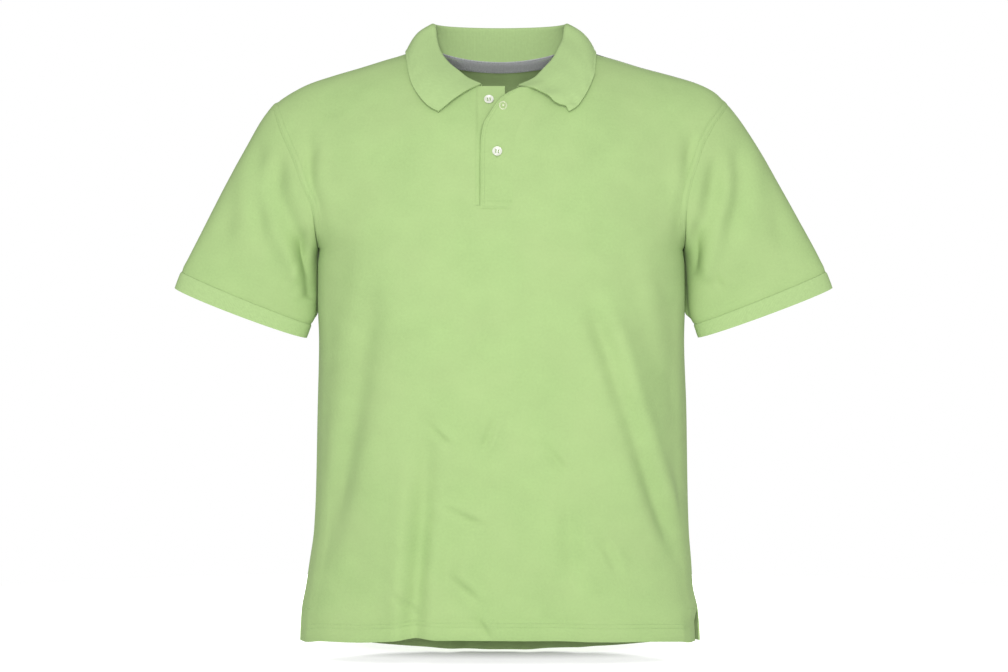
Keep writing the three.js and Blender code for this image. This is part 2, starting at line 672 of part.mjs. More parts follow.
function collarColumn({ side, angle, base, inward }) {
  const across = Math.sin(angle);
  const ahead = Math.cos(angle);
  const forward = ahead < 0 ? -ahead * FRONT_REACH : 0;
  const fold = vec(
    side * FOLD_HALF * across,
    ahead < 0 ? -forward : ahead * FOLD_BACK,
    FOLD_TOP_Z - FOLD_SLOPE * (Math.hypot(forward, 6) - 6),
  );
  const reach = ahead < 0 ? FRONT_REACH : FOLD_BACK;
  const outward = vec((side * across) / FOLD_HALF, ahead / reach, 0).normalize();
  const table = side < 0 ? LEAF_EDGE.right : LEAF_EDGE.left;
  const degrees = (angle * 180) / Math.PI;
  const edgeX = side * curve(table, "angle", "x")(degrees);
  const edgeZ = curve(table, "angle", "z")(degrees);
  const edge = offBody(edgeX, edgeZ, degrees > 90 ? -1 : 1, LEAF_LIFT);
  const start = base.clone().addScaledVector(inward, RIB);
  const foldIn = fold.clone().addScaledVector(outward, -FOLD_RADIUS);
  const foldOut = fold.clone().addScaledVector(outward, FOLD_RADIUS);
  const apex = fold.clone().add(vec(0, 0, FOLD_RADIUS));
  const column = [start];
  for (const t of [1 / 3, 2 / 3]) column.push(start.clone().lerp(foldIn, t));
  column.push(foldIn);
  column.push(foldIn.clone().lerp(apex, 0.5).add(vec(0, 0, 0.6)).addScaledVector(outward, -0.6));
  column.push(apex);
  column.push(foldOut.clone().lerp(apex, 0.5).add(vec(0, 0, 0.6)).addScaledVector(outward, 0.6));
  column.push(foldOut);
  for (let k = 1; k <= 5; k += 1) {
    const t = k / 5;
    const bow = LEAF_BOW * Math.sin(Math.PI * t) * (1 - 0.35 * t);
    const spot = foldOut.clone().lerp(edge, t);
    column.push(spot.addScaledVector(outward, bow * 0.8).add(vec(0, 0, bow * 0.45)));
  }
  return { column, inward: inward.clone().negate() };
}

const seams = [
  collarSeam(-COLLAR_END_X, -1),
  ...[...frontLeftNeck].reverse().map((x) => collarSeam(x, -1)),
  ...backNeck.slice(1, -1).map((x) => collarSeam(x, 1)),
  ...[...frontRightNeck].reverse().map((x) => collarSeam(x, -1)),
  collarSeam(COLLAR_END_X, -1),
];
// Extra columns where the collar turns over the shoulder seams.
const collarColumns = seams.flatMap((seam, i) => {
  const next = seams[i + 1];
  const near = next && Math.min(Math.abs(seam.angle - Math.PI / 2), Math.abs(next.angle - Math.PI / 2));
  const here = [collarColumn(seam)];
  if (next && near < 0.05)
    here.push(collarColumn(betweenSeams(seam, next, 0.5)));
  return here;
});
const collar = wall(
  collarColumns[0].column.map((_, r) => collarColumns.map(({ column }) => column[r])),
  RIB,
  { inward: (r, c) => (r === 0 ? collarColumns[c].inward : null) },
);

// The tape covers the neck seam inside the back, made from the back panel's own points.
function neckTape() {
  const rows = 1 + LOWER_ROWS.length + UPPER_SHARES.length;
  const first = SHOULDER_SHARES.length + 1;
  const last = first + backNeck.length - 3;
  const grid = [rows - 3, rows - 2].map((r) => {
    const points = [];
    for (let c = last; c >= first; c -= 1) {
      const column = backColumns.length - 1 - c;
      const through = back.normals[r][column].clone().normalize().negate();
      points.push(back.inner[r][column].clone().addScaledVector(through, SEAM + TAPE));
    }
    return points.reverse();
  });
  return wall(grid, TAPE);
}

// ---- placket ----

// Free edge of the upper placket seen from the front: it runs straight down from the
// fastened button and turns open toward the neck. `stand` is how far it stands off there.
const FREE_EDGE = [
  { z: -202.5, x: -23.5, stand: 0 },
  { z: -130, x: -23.5, stand: 0 },
  { z: -114, x: -22.5, stand: 1 },
  { z: -99, x: -19.5, stand: 3 },
  { z: -88, x: -13.5, stand: 5 },
  { z: -76, x: -6, stand: 7 },
  { z: -66, x: 2, stand: 8 },
  { z: -60, x: 11, stand: 8 },
  { z: -53, x: 24, stand: 6 },
];
const freeEdgeX = curve(FREE_EDGE, "z", "x");
const freeEdgeStand = curve(FREE_EDGE, "z", "stand");
const UPPER_PROUD = 0.9; // how far the upper placket lies above the front panel
const LOWER_SUNK = 2.6; // how far the lower placket lies under it
const BOX_BOTTOM_Z = mix(UNDERARM_Z, PLACKET_TOP_Z, UPPER_SHARES[BOX_ROW]) + SEAM;
const UNDER_RIGHT_X = 6;

function placketTop() {
  const levels = [BOX_BOTTOM_Z, -185, -165, -145, -128, -114, -101, -90, -80, -71, -63, -57, -53];
  const rows = levels.map((z) =>
    [0, 0.15, 0.35, 0.55, 0.78, 1].map((share) => {
      const x = mix(freeEdgeX(z), placketRight(z) - SEAM, share);
      const stand = freeEdgeStand(z) * (1 - share) ** 1.5;
      return vec(x, frontY(x, z) - UPPER_PROUD - stand, z);
    }),
  );
  return wall(rows, CLOTH, { inward: (r, c) => (r === 0 || c === 5 ? vec(0, 1, 0) : null) });
}

function placketUnder() {
  const levels = [BOX_BOTTOM_Z, -180, -160, -140, -120, -102, -86, -72, -60, -51];
  const rows = levels.map((z) =>
    [-29.2, -26.5, -24.5, -15, -5, UNDER_RIGHT_X].map((x) => {
      const sunk = LOWER_SUNK * smooth(-29.2, -24.8, x);
      return vec(x, frontY(x, z) + sunk, z);
    }),
  );
  return wall(rows, CLOTH, { inward: (r, c) => (r === 0 || c === 0 ? vec(0, 1, 0) : null) });
}

// ---- buttons ----

const BUTTON_RADIUS = 6.1;
const BUTTON_THICK = 2.4;
const BUTTON_HOLE_RADIUS = 0.9;
const BUTTON_HOLE_SPREAD = 1.5;
const BUTTON_GAP = 0.5;

function button(x, z, stand) {
  const shape = new THREE.Shape().absarc(0, 0, BUTTON_RADIUS, 0, 2 * Math.PI);
  for (const [sx, sz] of [[1, 1], [-1, 1], [-1, -1], [1, -1]])
    shape.holes.push(
      new THREE.Path().absarc(sx * BUTTON_HOLE_SPREAD, sz * BUTTON_HOLE_SPREAD, BUTTON_HOLE_RADIUS, 0, 2 * Math.PI),
    );
  const geometry = new THREE.ExtrudeGeometry(shape, {
    depth: BUTTON_THICK - 0.8,
    bevelEnabled: true,
    bevelSize: 0.5,
    bevelThickness: 0.4,
    bevelOffset: -0.5,
    bevelSegments: 1,
    curveSegments: 10,
  });
  geometry.translate(0, 0, 0.4);
  const step = 4;
  const across = vec(2 * step, frontY(x + step, z) - frontY(x - step, z), 0);
  const up = vec(0, frontY(x, z + step) - frontY(x, z - step), 2 * step);
  const normal = across.clone().cross(up).normalize();
  const sideways = across.normalize();
  const upward = normal.clone().cross(sideways);
  const turn = new THREE.Matrix4().makeBasis(sideways, upward, normal);
  geometry.applyMatrix4(turn);
  const seat = vec(x, frontY(x, z), z).addScaledVector(normal, stand + BUTTON_GAP);
  geometry.translate(seat.x, seat.y, seat.z);
  return geometry;
}

// ---- the group ----

const COLOURS = {
  pique: { color: 0xadd583, roughness: 0.9 },
  rib: { color: 0xabd384, roughness: 0.92 },
  tape: { color: 0x808488, roughness: 0.95 },
  button: { color: 0xeef0e4, roughness: 0.3 },
};

const polo = new THREE.Group();
polo.name = "polo_shirt";
function add(name, geometry, colour) {
  const mesh = new THREE.Mesh(geometry, new THREE.MeshStandardMaterial(COLOURS[colour]));
  mesh.name = name;
  polo.add(mesh);
}

add("front", front.geometry, "pique");
add("back", back.geometry, "pique");
add("sleeve_right", sleeve(-1).geometry, "pique");
add("sleeve_left", sleeve(1).geometry, "pique");
add("cuff_right", cuff(-1).geometry, "rib");
add("cuff_left", cuff(1).geometry, "rib");
add("collar", collar.geometry, "rib");
add("placket_top", placketTop().geometry, "pique");
add("placket_under", placketUnder().geometry, "pique");
add("neck_tape", neckTape().geometry, "tape");
add("button_neck", button(-13.5, -68, -LOWER_SUNK), "button");
add("button_lower", button(-3.4, -134, UPPER_PROUD), "button");

export default polo;
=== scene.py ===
"""Looks for a light green polo shirt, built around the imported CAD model.

Lengths in this script are millimetres, in the CAD frame: +X to the wearer's left, +Y out of
the back, +Z up. `MM` turns them into Blender's metres when a mesh is made.
"""

import math

import bmesh
import bpy
import numpy as np
from mathutils import Matrix, Vector


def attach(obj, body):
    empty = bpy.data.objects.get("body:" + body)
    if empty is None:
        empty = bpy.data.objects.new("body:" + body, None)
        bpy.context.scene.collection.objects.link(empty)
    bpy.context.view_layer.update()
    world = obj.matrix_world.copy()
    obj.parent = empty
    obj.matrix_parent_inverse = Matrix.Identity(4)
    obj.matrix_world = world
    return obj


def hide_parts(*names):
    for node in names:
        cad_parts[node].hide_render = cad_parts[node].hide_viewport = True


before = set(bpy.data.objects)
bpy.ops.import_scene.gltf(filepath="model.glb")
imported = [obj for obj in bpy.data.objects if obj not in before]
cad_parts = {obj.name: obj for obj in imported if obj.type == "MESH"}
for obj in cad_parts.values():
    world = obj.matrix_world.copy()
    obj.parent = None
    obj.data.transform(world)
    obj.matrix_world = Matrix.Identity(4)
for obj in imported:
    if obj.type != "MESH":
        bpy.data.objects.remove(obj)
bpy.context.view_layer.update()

MM = 0.001

# ---- smooth curves through short tables ----


class Curve:
    """A smooth curve through a table's rows, without overshoot between them."""

    def __init__(self, rows, at=0, value=1):
        self.x = np.array([row[at] for row in rows], float)
        self.y = np.array([row[value] for row in rows], float)
        slope = np.diff(self.y) / np.diff(self.x)
        tangent = np.zeros_like(self.y)
        tangent[0], tangent[-1] = slope[0], slope[-1]
        a, b = slope[:-1], slope[1:]
        same = a * b > 0
        tangent[1:-1][same] = 2 * a[same] * b[same] / (a[same] + b[same])
        self.tangent = tangent

    def __call__(self, at):
        at = np.asarray(at, float)
        i = np.clip(np.searchsorted(self.x, at) - 1, 0, len(self.x) - 2)
        h = self.x[i + 1] - self.x[i]
        t = np.clip((at - self.x[i]) / h, 0, 1)
        value = (
            (2 * t**3 - 3 * t**2 + 1) * self.y[i]
            + (t**3 - 2 * t**2 + t) * h * self.tangent[i]
            + (3 * t**2 - 2 * t**3) * self.y[i + 1]
            + (t**3 - t**2) * h * self.tangent[i + 1]
        )
        low = np.minimum(at - self.x[0], 0) * self.tangent[0]
        high = np.maximum(at - self.x[-1], 0) * self.tangent[-1]
        return value + low + high


def smooth(low, high, v):
    t = np.clip((np.asarray(v, float) - low) / (high - low), 0, 1)
    return t * t * (3 - 2 * t)


def mix(a, b, t):
    return a + (b - a) * t


def unit(v):
    return v / np.maximum(np.linalg.norm(v, axis=-1, keepdims=True), 1e-9)


def bell(distance, wide):
    return np.exp(-((distance / wide) ** 2))


def full_turn(count):
    """`count` angles, evenly spaced round a circle."""
    return np.linspace(0, 2 * math.pi, count + 1)[:-1]


# ---- sizes shared with the CAD model ----

SEAM = 0.3  # gap between pieces sewn together
HALF = SEAM / 2
NECK_HALF = 92
NECK_DROP = {-1: 52, 1: 13}  # front and back neck drop
UNDERARM_Z = -250
TIP_Z = -68
VENT_TOP_Z = -696
SECTION_POWER = 2.4  # how square the body's level section is
ARMHOLE_RISE = 90  # height above the underarm over which the armhole's edges part
ARMHOLE_SHARE = 0.62  # their depth at most, as a share of the body's
EDGE_REACH = 3  # how steeply that depth falls off towards the middle

shoulder_z = Curve([
    (-300, -78), (-284, -69), (-258, -52.5), (-238, -42.5), (-208, -32.5), (-174, -22.5), (-133, -10),
    (-92, 0), (92, 0), (134, -10), (176, -22.5), (214, -32.5), (247, -42.5), (267, -52.5), (284, -68),
    (300, -80),
])

# level, half width on the wearer's right (-X), half width on the wearer's left (+X)
HALF_WIDTHS = [
    (-760, 250.5, 250.5), (-737, 250, 250), (-700, 248, 247.5), (-669, 242.5, 241), (-639, 238, 239),
    (-600, 232.5, 236), (-550, 230, 234.5), (-450, 228, 233), (-362, 226.2, 230.2), (-310, 228, 231.3),
    (-268, 227.8, 230.8), (-250, 226, 229),
    (-231, 227.5, 229), (-200, 231.5, 230), (-170, 244, 235.5), (-145, 253, 243.5), (-127, 261, 249.5),
    (-100, 273, 263), (-68, 284, 284), (0, 300, 300),
]
HALF_WIDTH = {-1: Curve(HALF_WIDTHS, 0, 1), 1: Curve(HALF_WIDTHS, 0, 2)}

# square root of the distance below the shoulder line, depth to the front, depth to the back
DEPTHS = [
    (0, 0, 0), (1.4, 13, 21), (2.8, 27, 43.5), (4, 38, 60), (6, 57, 84), (7.2, 68, 93), (8.4, 79, 100),
    (10, 93, 107), (12.2, 108, 115), (14.1, 118, 119), (17.3, 127, 117), (20, 126, 110), (22.4, 120, 104),
    (24.5, 110, 100), (27.1, 98, 98), (28, 96, 98),
]
DEPTH = {-1: Curve(DEPTHS, 0, 1), 1: Curve(DEPTHS, 0, 2)}

# x, hem level of the front, hem level of the back
HEMS = [
    (-250, -737.5, -737.5), (-225, -734, -741), (-175, -733, -748), (-130, -729.5, -753.5),
    (-100, -726, -756), (-75, -728, -758), (0, -728, -760), (125, -730.5, -755), (180, -732, -749),
    (225, -734.5, -742), (250, -737.5, -737.5),
]
HEM = {-1: Curve(HEMS, 0, 1), 1: Curve(HEMS, 0, 2)}


def half_width(z, x):
    return np.where(np.asarray(x) < 0, HALF_WIDTH[-1](z), HALF_WIDTH[1](z))


def body_y(x, z, face):
    """The body's outer surface without folds: face is -1 for the front and 1 for the back."""
    x, z = np.broadcast_arrays(np.asarray(x, float), np.asarray(z, float))
    below = np.maximum(0, shoulder_z(x) - z)
    across = np.clip(np.abs(x) / half_width(z, x), 0, 1)
    t = np.clip((z - UNDERARM_Z) / ARMHOLE_RISE, 0, 1)
    edge = ARMHOLE_SHARE * np.sqrt(1 - (1 - t) ** 2)
    n = SECTION_POWER
    share = (1 - across**n + (across**EDGE_REACH * edge) ** n) ** (1 / n)
    return face * (HALF + DEPTH[face](np.sqrt(below)) * share)


def neck_z(x, face):
    return -NECK_DROP[face] * np.maximum(0, 1 - (np.asarray(x, float) / NECK_HALF) ** 2)


CLOTH = 1.1  # thickness of the pique as shown
RIB = 1.9  # thickness of the flat-knit collar and cuffs as shown

# ---- folds ----
# Each fold is a soft valley along a line: its points, depth and width, and a low ridge beside
# it, on the +X side where `ridge` is positive. It fades in over the share `rise` of its line and
# out over the share `fall`.


def fold(deep, wide, ridge, line, rise=0.4, fall=0.4):
    return dict(deep=deep, wide=wide, ridge=ridge, line=line, rise=rise, fall=fall)


BODY_FOLDS = {
    -1: [
        fold(8, 18, -1.5, [(-144, -262), (-160, -328), (-170, -388), (-181, -448), (-193, -508),
                           (-207, -568), (-220, -617), (-232, -670)], 0.25, 0.35),
        fold(7, 12, 4.5, [(97, -285), (104, -308), (128, -368), (149, -435), (171, -496), (189, -544),
                          (213, -598), (231, -647)], 0.3, 0.2),
        fold(2, 14, 2, [(146, -235), (155, -275), (171, -335), (192, -400), (210, -455)], 0.35, 0.4),
        fold(9, 13, -3, [(-86, -440), (-88, -475), (-93, -556), (-98, -617), (-105, -707), (-108, -790)],
             0.35, 0.01),
        fold(3, 14, 2, [(-62, -575), (-68, -640), (-66, -700)]),
        fold(3.2, 13, -2, [(78, -520), (84, -585), (92, -650), (90, -700)], 0.4, 0.35),
        fold(4.5, 10, 1.5, [(-236, -92), (-235, -130), (-238, -170), (-228, -205), (-214, -250)], 0.3, 0.4),
        fold(4.5, 10, -1.5, [(240, -88), (236, -130), (236, -170), (226, -212), (216, -255)], 0.3, 0.4),
        fold(3.5, 20, 0, [(-196, -205), (-192, -275), (-205, -350), (-212, -420)], 0.3, 0.4),
        fold(3.5, 20, 0, [(196, -240), (206, -330), (216, -420), (222, -500)], 0.3, 0.4),
        fold(2, 26, 0, [(30, -330), (22, -430), (10, -540)]),
        fold(2.5, 20, 1, [(60, -560), (72, -640), (78, -780)], 0.4, 0.01),
        fold(2.4, 4.5, 1.4, [(-92, -462), (-84, -469), (-64, -488), (-52, -494)]),
        fold(2.0, 4.5, 1.3, [(-4, -448), (-6, -459), (-18, -489), (-27, -505)]),
        fold(2.2, 4.5, 1.2, [(-78, -563), (-66, -568), (-27, -586), (-10, -590)]),
        fold(2.4, 5, 1.4, [(-72, -644), (-60, -653), (-30, -677), (-22, -690)]),
        fold(2.3, 4.5, 1.2, [(-36, -694), (-30, -701), (-18, -716), (-12, -730)], 0.4, 0.3),
        fold(2.4, 4.5, 1.2, [(-135, -668), (-127, -677), (-109, -692), (-98, -698)]),
        fold(2.4, 6, 1.4, [(40, -480), (62, -500), (86, -534)]),
        fold(2.4, 6, 1.4, [(112, -590), (136, -628), (152, -660)]),
    ],
    1: [
        fold(11, 16, 6, [(112, -225), (136, -340), (152, -450), (186, -570), (204, -640)], 0.3, 0.35),
        fold(11.5, 15, -6, [(-104, -235), (-130, -330), (-158, -440), (-178, -560), (-206, -650)], 0.3, 0.3),
        fold(8, 15, 3, [(22, -430), (28, -580), (38, -800)], 0.4, 0.01),
        fold(6.5, 14, 3, [(-50, -480), (-62, -630), (-66, -800)], 0.4, 0.01),
        fold(5, 12, 2, [(86, -520), (96, -640), (104, -800)], 0.4, 0.01),
        fold(5, 9, 2, [(-238, -100), (-236, -160), (-222, -220)], 0.3, 0.4),
        fold(5, 9, -2, [(238, -96), (236, -160), (222, -226)], 0.3, 0.4),
        fold(5, 18, 0, [(0, -90), (6, -200), (-4, -340)], 0.4, 0.5),
        fold(4.5, 13, 1.5, [(-160, -110), (-120, -210), (-96, -300)]),
        fold(4.5, 13, -1.5, [(158, -110), (118, -200), (100, -280)]),
        fold(2.4, 5, 1.4, [(60, -455), (78, -470), (92, -492)]),
        fold(2.2, 5, 1.3, [(-40, -510), (-62, -530), (-72, -548)]),
        fold(2.4, 5, 1.2, [(96, -640), (112, -660), (118, -690)]),
        fold(2.2, 5, 1.2, [(-118, -620), (-98, -646), (-92, -668)]),
    ],
}
SLEEVE_FOLDS = {
    -1: [
        fold(5.5, 13, -2, [(-296, -92), (-302, -110), (-298, -171), (-294, -233), (-296, -262)], 0.3, 0.35),
        fold(6.5, 12, -3.5, [(-272, -118), (-271, -133), (-277, -174), (-266, -203), (-243, -250),
                             (-226, -288)], 0.3, 0.1),
        fold(12, 9, -2, [(-251, -218), (-243, -245), (-238, -267), (-234, -290), (-232, -316)], 0.5, 0.1),
        fold(2.5, 12, -1.5, [(-330, -160), (-338, -215), (-346, -255)], 0.35, 0.35),
        fold(1.2, 4, 0.8, [(-250, -256), (-262, -282), (-272, -304)]),
    ],
    1: [
        fold(5.5, 13, 2, [(294, -100), (296, -122), (295, -190), (286, -222), (276, -255)], 0.3, 0.35),
        fold(6, 11, 3.5, [(268, -120), (267, -144), (263, -180), (254, -212), (240, -262),
                          (233, -292)], 0.3, 0.1),
        fold(8, 8, 2, [(244, -210), (240, -240), (237, -265), (236, -292)]),
        fold(2.5, 12, 1.5, [(334, -165), (346, -215), (352, -262)], 0.35, 0.35),
        fold(1.2, 4, 0.8, [(256, -262), (268, -286), (280, -306)]),
    ],
}


def soft_line(line):
    """The line with its corners cut twice, so that a fold bends without kinks."""
    line = np.array(line, float)
    for _ in range(2):
        near, far = 0.75 * line[:-1] + 0.25 * line[1:], 0.25 * line[:-1] + 0.75 * line[1:]
        inner = np.stack([near, far], 1).reshape(-1, 2)
        line = np.concatenate([line[:1], inner[1:-1], line[-1:]])
    return line


def line_distance(x, z, line):
    """Distance to a line, whether a spot is on its +X side as it runs down, share along it."""
    steps = np.diff(line, axis=0)
    lengths = np.hypot(*steps.T)
    run = np.concatenate([[0], np.cumsum(lengths)])
    near = np.full(np.shape(x), np.inf)
    side = np.ones(np.shape(x))
    along = np.zeros(np.shape(x))
    for (ax, az), (dx, dz), start, length in zip(line[:-1], steps, run, lengths):
        t = np.clip(((x - ax) * dx + (z - az) * dz) / length**2, 0, 1)
        ox, oz = x - ax - t * dx, z - az - t * dz
        distance = np.hypot(ox, oz)
        closer = distance < near
        near = np.where(closer, distance, near)
        side = np.where(closer, np.sign(dx * oz - dz * ox), side)
        along = np.where(closer, (start + t * length) / run[-1], along)
    return near, side, along


def fold_height(x, z, folds):
    """How far the cloth stands out, or in where negative, because of a list of folds."""
    total = np.zeros(np.shape(x))
    for item in folds:
        line = soft_line(item["line"])
        wide, ridge = item["wide"], item["ridge"]
        low, high = line.min(0) - 4 * wide, line.max(0) + 4 * wide
        here = (x > low[0]) & (x < high[0]) & (z > low[1]) & (z < high[1])
        if not here.any():
            continue
        near, side, along = line_distance(x[here], z[here], line)
        fade = smooth(0, item["rise"], along) * (1 - smooth(1 - item["fall"], 1, along))
        wave = 1 + 0.2 * np.sin(9 * along + item["deep"])
        stronger = 0.5 + 0.5 * np.tanh(side * np.sign(ridge) * near / (0.5 * wide))
        crest = abs(ridge) * (0.25 + 0.75 * stronger) * bell(near - 1.8 * wide, wide)
        total[here] += fade * wave * (crest - item["deep"] * bell(near, wide))
    return total


def swell(x, z, scale, seed):
    """A gentle random swell, mostly from -1 to 1, over lengths of about `scale`."""
    rng = np.random.default_rng(seed)
    total = np.zeros(np.shape(x))
    waves = 12
    for _ in range(waves):
        angle = rng.uniform(0, 2 * math.pi)
        length = scale * rng.uniform(0.7, 1.8)
        phase = rng.uniform(0, 2 * math.pi)
        total += np.sin(2 * math.pi * (x * math.cos(angle) + z * math.sin(angle)) / length + phase)
    return total / math.sqrt(waves)


BODY_SEEDS = {-1: 11, 1: 23}
SIDE_TURN = 8  # how far the lower body turns away from the form near its sides


def body_height(x, z, face):
    """Height of a body panel's folds and swells, dying out at its seams."""
    x, z = np.broadcast_arrays(np.asarray(x, float), np.asarray(z, float))
    across = np.abs(x) / half_width(z, x)
    lower = smooth(-180, -420, z)
    seed = BODY_SEEDS[face]
    height = fold_height(x, z, BODY_FOLDS[face])
    height = height + (0.35 + 0.9 * lower) * swell(x, z * 0.6, 120, seed)
    height = height + 0.22 * swell(x, z, 34, seed + 1) + 0.07 * swell(x, z, 11, seed + 2)
    side = 1 - smooth(0.93, 0.995, across)
    top = smooth(0, 26, shoulder_z(x) - z)
    forward = (1 - np.clip(across, 0, 1) ** SECTION_POWER) ** (1 / SECTION_POWER)
    turned = SIDE_TURN * smooth(0.5, 0.94, across) * smooth(0, 0.45, forward) * smooth(-290, -470, z)
    return height * side * top - turned


# ---- meshes ----


def grid_normals(grid, kept=None, ring=False):
    """Outward normals at the points of a grid whose columns run right and rows run up."""
    right = np.roll(grid, -1, axis=1) if ring else grid[:, 1:]
    left = grid if ring else grid[:, :-1]
    n = np.cross(right[1:] - left[:-1], left[1:] - right[:-1])
    if kept is not None:
        n = n * kept[..., None]
    total = np.zeros_like(grid)
    for rows in (slice(0, -1), slice(1, None)):
        if ring:
            total[rows] += n + np.roll(n, 1, axis=1)
        else:
            total[rows, :-1] += n
            total[rows, 1:] += n
    return unit(total)


def arcs(grid, axis):
    """Length along the grid's rows (axis 1) or columns (axis 0), from their start."""
    steps = np.linalg.norm(np.diff(grid, axis=axis), axis=-1)
    start = np.zeros_like(np.take(steps, [0], axis=axis))
    return np.concatenate([start, np.cumsum(steps, axis=axis)], axis)


def run_along(points):
    """Length along a line at each of its points."""
    return arcs(points, 0)


def along_line(field, run, spots):
    """Values of a line's field at distances along it."""
    return np.stack([np.interp(spots, run, field[:, k]) for k in range(3)], -1)


def no_direction(grid):
    """Room for the ways through a cloth at its edges; elsewhere its normals are followed."""
    return np.full_like(grid, np.nan)


def mesh_object(name, points, faces, uv=None, sharp=45, slots=None):
    """A piece from points in millimetres and faces with equally many corners.

    `uv` holds the cloth's coordinates at each face's corners, `slots` each face's material.
    """
    used = np.unique(faces)
    renumber = np.zeros(len(points), int)
    renumber[used] = np.arange(len(used))
    faces = renumber[faces]
    mesh = bpy.data.meshes.new(name)
    mesh.vertices.add(len(used))
    mesh.vertices.foreach_set("co", (points[used] * MM).astype(np.float32).ravel())
    count, corners = faces.shape
    mesh.loops.add(count * corners)
    mesh.loops.foreach_set("vertex_index", faces.astype(np.int32).ravel())
    mesh.polygons.add(count)
    mesh.polygons.foreach_set("loop_start", (np.arange(count) * corners).astype(np.int32))
    if uv is not None:
        layer = mesh.uv_layers.new(name="cloth")
        layer.data.foreach_set("uv", uv.astype(np.float32).ravel())
    if slots is not None:
        mesh.polygons.foreach_set("material_index", slots.astype(np.int32))
    mesh.update(calc_edges=True)
    mesh.validate()
    mesh.shade_smooth()
    mesh.set_sharp_from_angle(angle=math.radians(sharp))
    obj = bpy.data.objects.new(name, mesh)
    bpy.context.scene.collection.objects.link(obj)
    return obj


def wall_faces(rows, columns, kept, ring):
    """Faces of a closed wall: its outer face, its inner face (numbered on), and its rims."""
    size = rows * columns
    index = np.arange(size).reshape(rows, columns)
    following = np.roll(index, -1, axis=1)
    across = columns if ring else columns - 1
    a, b = index[:-1, :across], following[:-1, :across]
    e, d = index[1:, :across], following[1:, :across]
    faces = [np.stack([a, b, d, e], -1)[kept], np.stack([a, e, d, b], -1)[kept] + size]
    below, above = np.zeros_like(kept), np.zeros_like(kept)
    below[1:], above[:-1] = kept[:-1], kept[1:]
    if ring:
        left, right = np.roll(kept, 1, axis=1), np.roll(kept, -1, axis=1)
    else:
        left, right = np.zeros_like(kept), np.zeros_like(kept)
        left[:, 1:], right[:, :-1] = kept[:, :-1], kept[:, 1:]
    for p, q, beside in ((a, b, below), (d, e, above), (e, a, left), (b, d, right)):
        faces.append(np.stack([p + size, q + size, q, p], -1)[kept & ~beside])
    slots = np.zeros(sum(len(f) for f in faces))
    slots[len(faces[0]) : 2 * len(faces[0])] = 1
    return np.concatenate(faces), slots


class Cloth:
    """A closed wall of cloth made from a grid of points on its outer face."""

    def __init__(self, name, grid, thickness, kept=None, through=None, ring=False):
        rows, columns = grid.shape[:2]
        if kept is None:
            kept = np.ones((rows - 1, columns if ring else columns - 1), bool)
        self.grid, self.ring = grid, ring
        self.normals = grid_normals(grid, kept, ring)
        direction = -self.normals
        if through is not None:
            given = ~np.isnan(through[..., 0])
            direction[given] = through[given]
        thick = np.broadcast_to(thickness, (rows, columns))[..., None]
        self.inner = grid + direction * thick
        self.u, self.v = arcs(grid, 1), arcs(grid, 0)
        middle = columns // 2
        uv = np.stack([self.u - self.u[:, middle : middle + 1], self.v], -1).reshape(-1, 2)
        points = np.concatenate([grid.reshape(-1, 3), self.inner.reshape(-1, 3)])
        faces, slots = wall_faces(rows, columns, kept, ring)
        corner = np.concatenate([uv, uv])[faces]
        if ring:  # the faces that close the ring run on past the last column
            place = (faces % (rows * columns)) % columns
            closing = (place.max(1) == columns - 1) & (place.min(1) == 0)
            step = np.linalg.norm(grid[0, 0] - grid[0, -1]) + self.u[:, -1].mean()
            corner[..., 0] += step * (closing[:, None] & (place == 0))
        self.object = mesh_object(name, points, faces, corner, slots=slots)

    def at(self, r, c):
        """Points and normals at fractional rows and columns."""
        r, c = np.broadcast_arrays(np.asarray(r, float), np.asarray(c, float))
        i = np.clip(r.astype(int), 0, self.grid.shape[0] - 2)
        j = np.clip(c.astype(int), 0, self.grid.shape[1] - 2)
        s, t = (r - i)[..., None], (c - j)[..., None]
        found = []
        for field in (self.grid, self.normals):
            low = mix(field[i, j], field[i, j + 1], t)
            high = mix(field[i + 1, j], field[i + 1, j + 1], t)
            found.append(mix(low, high, s))
        return found

    def above_hem(self, distance, columns):
        """The line that runs at a distance above the lowest row."""
        rows = [np.interp(distance, self.v[:, c], np.arange(len(self.v))) for c in columns]
        return self.at(rows, columns)

    def beside_end(self, distance, rows, end):
        """The line that runs at a distance from the first (0) or last (-1) column."""
        columns = []
        for r in rows:
            run = np.abs(self.u[r] - self.u[r, end])
            order = np.arange(len(run)) if end == 0 else np.arange(len(run))[::-1]
            columns.append(np.interp(distance, run[order], order))
        return self.at(rows, columns)


# ---- armholes ----


def armhole_loop(side, turn):
    """Points of the line where a sleeve is set in: turn 0 is the underarm, pi the shoulder."""
    turn = np.asarray(turn, float)
    face = np.where(np.sin(turn) > 0, -1, 1)
    share = (1 - np.cos(turn)) / 2
    top = shoulder_z(side * HALF_WIDTH[side](TIP_Z))
    z = mix(UNDERARM_Z, top, share)
    x = side * HALF_WIDTH[side](z)
    y = np.where(face < 0, body_y(x, z, -1) + HALF, body_y(x, z, 1) - HALF)
    y = np.where((share < 1e-9) | (share > 1 - 1e-9), 0, y)
    return np.stack([x, y, z], -1)


TURN_STEP = 0.02  # radians, for the way a loop runs


def armhole_frame(side, turn):
    """The armhole's points, the way through the cloth, and the way from panel to sleeve."""
    point = armhole_loop(side, turn)
    tangent = unit(armhole_loop(side, turn + TURN_STEP) - armhole_loop(side, turn - TURN_STEP))
    centre = 0.5 * (armhole_loop(side, 0.0) + armhole_loop(side, math.pi))
    inward = centre - point
    inward = unit(inward - (inward * tangent).sum(-1, keepdims=True) * tangent)
    out = unit(np.cross(tangent, inward))
    out = out * np.sign(out[..., :1] * side)
    return point, inward, out


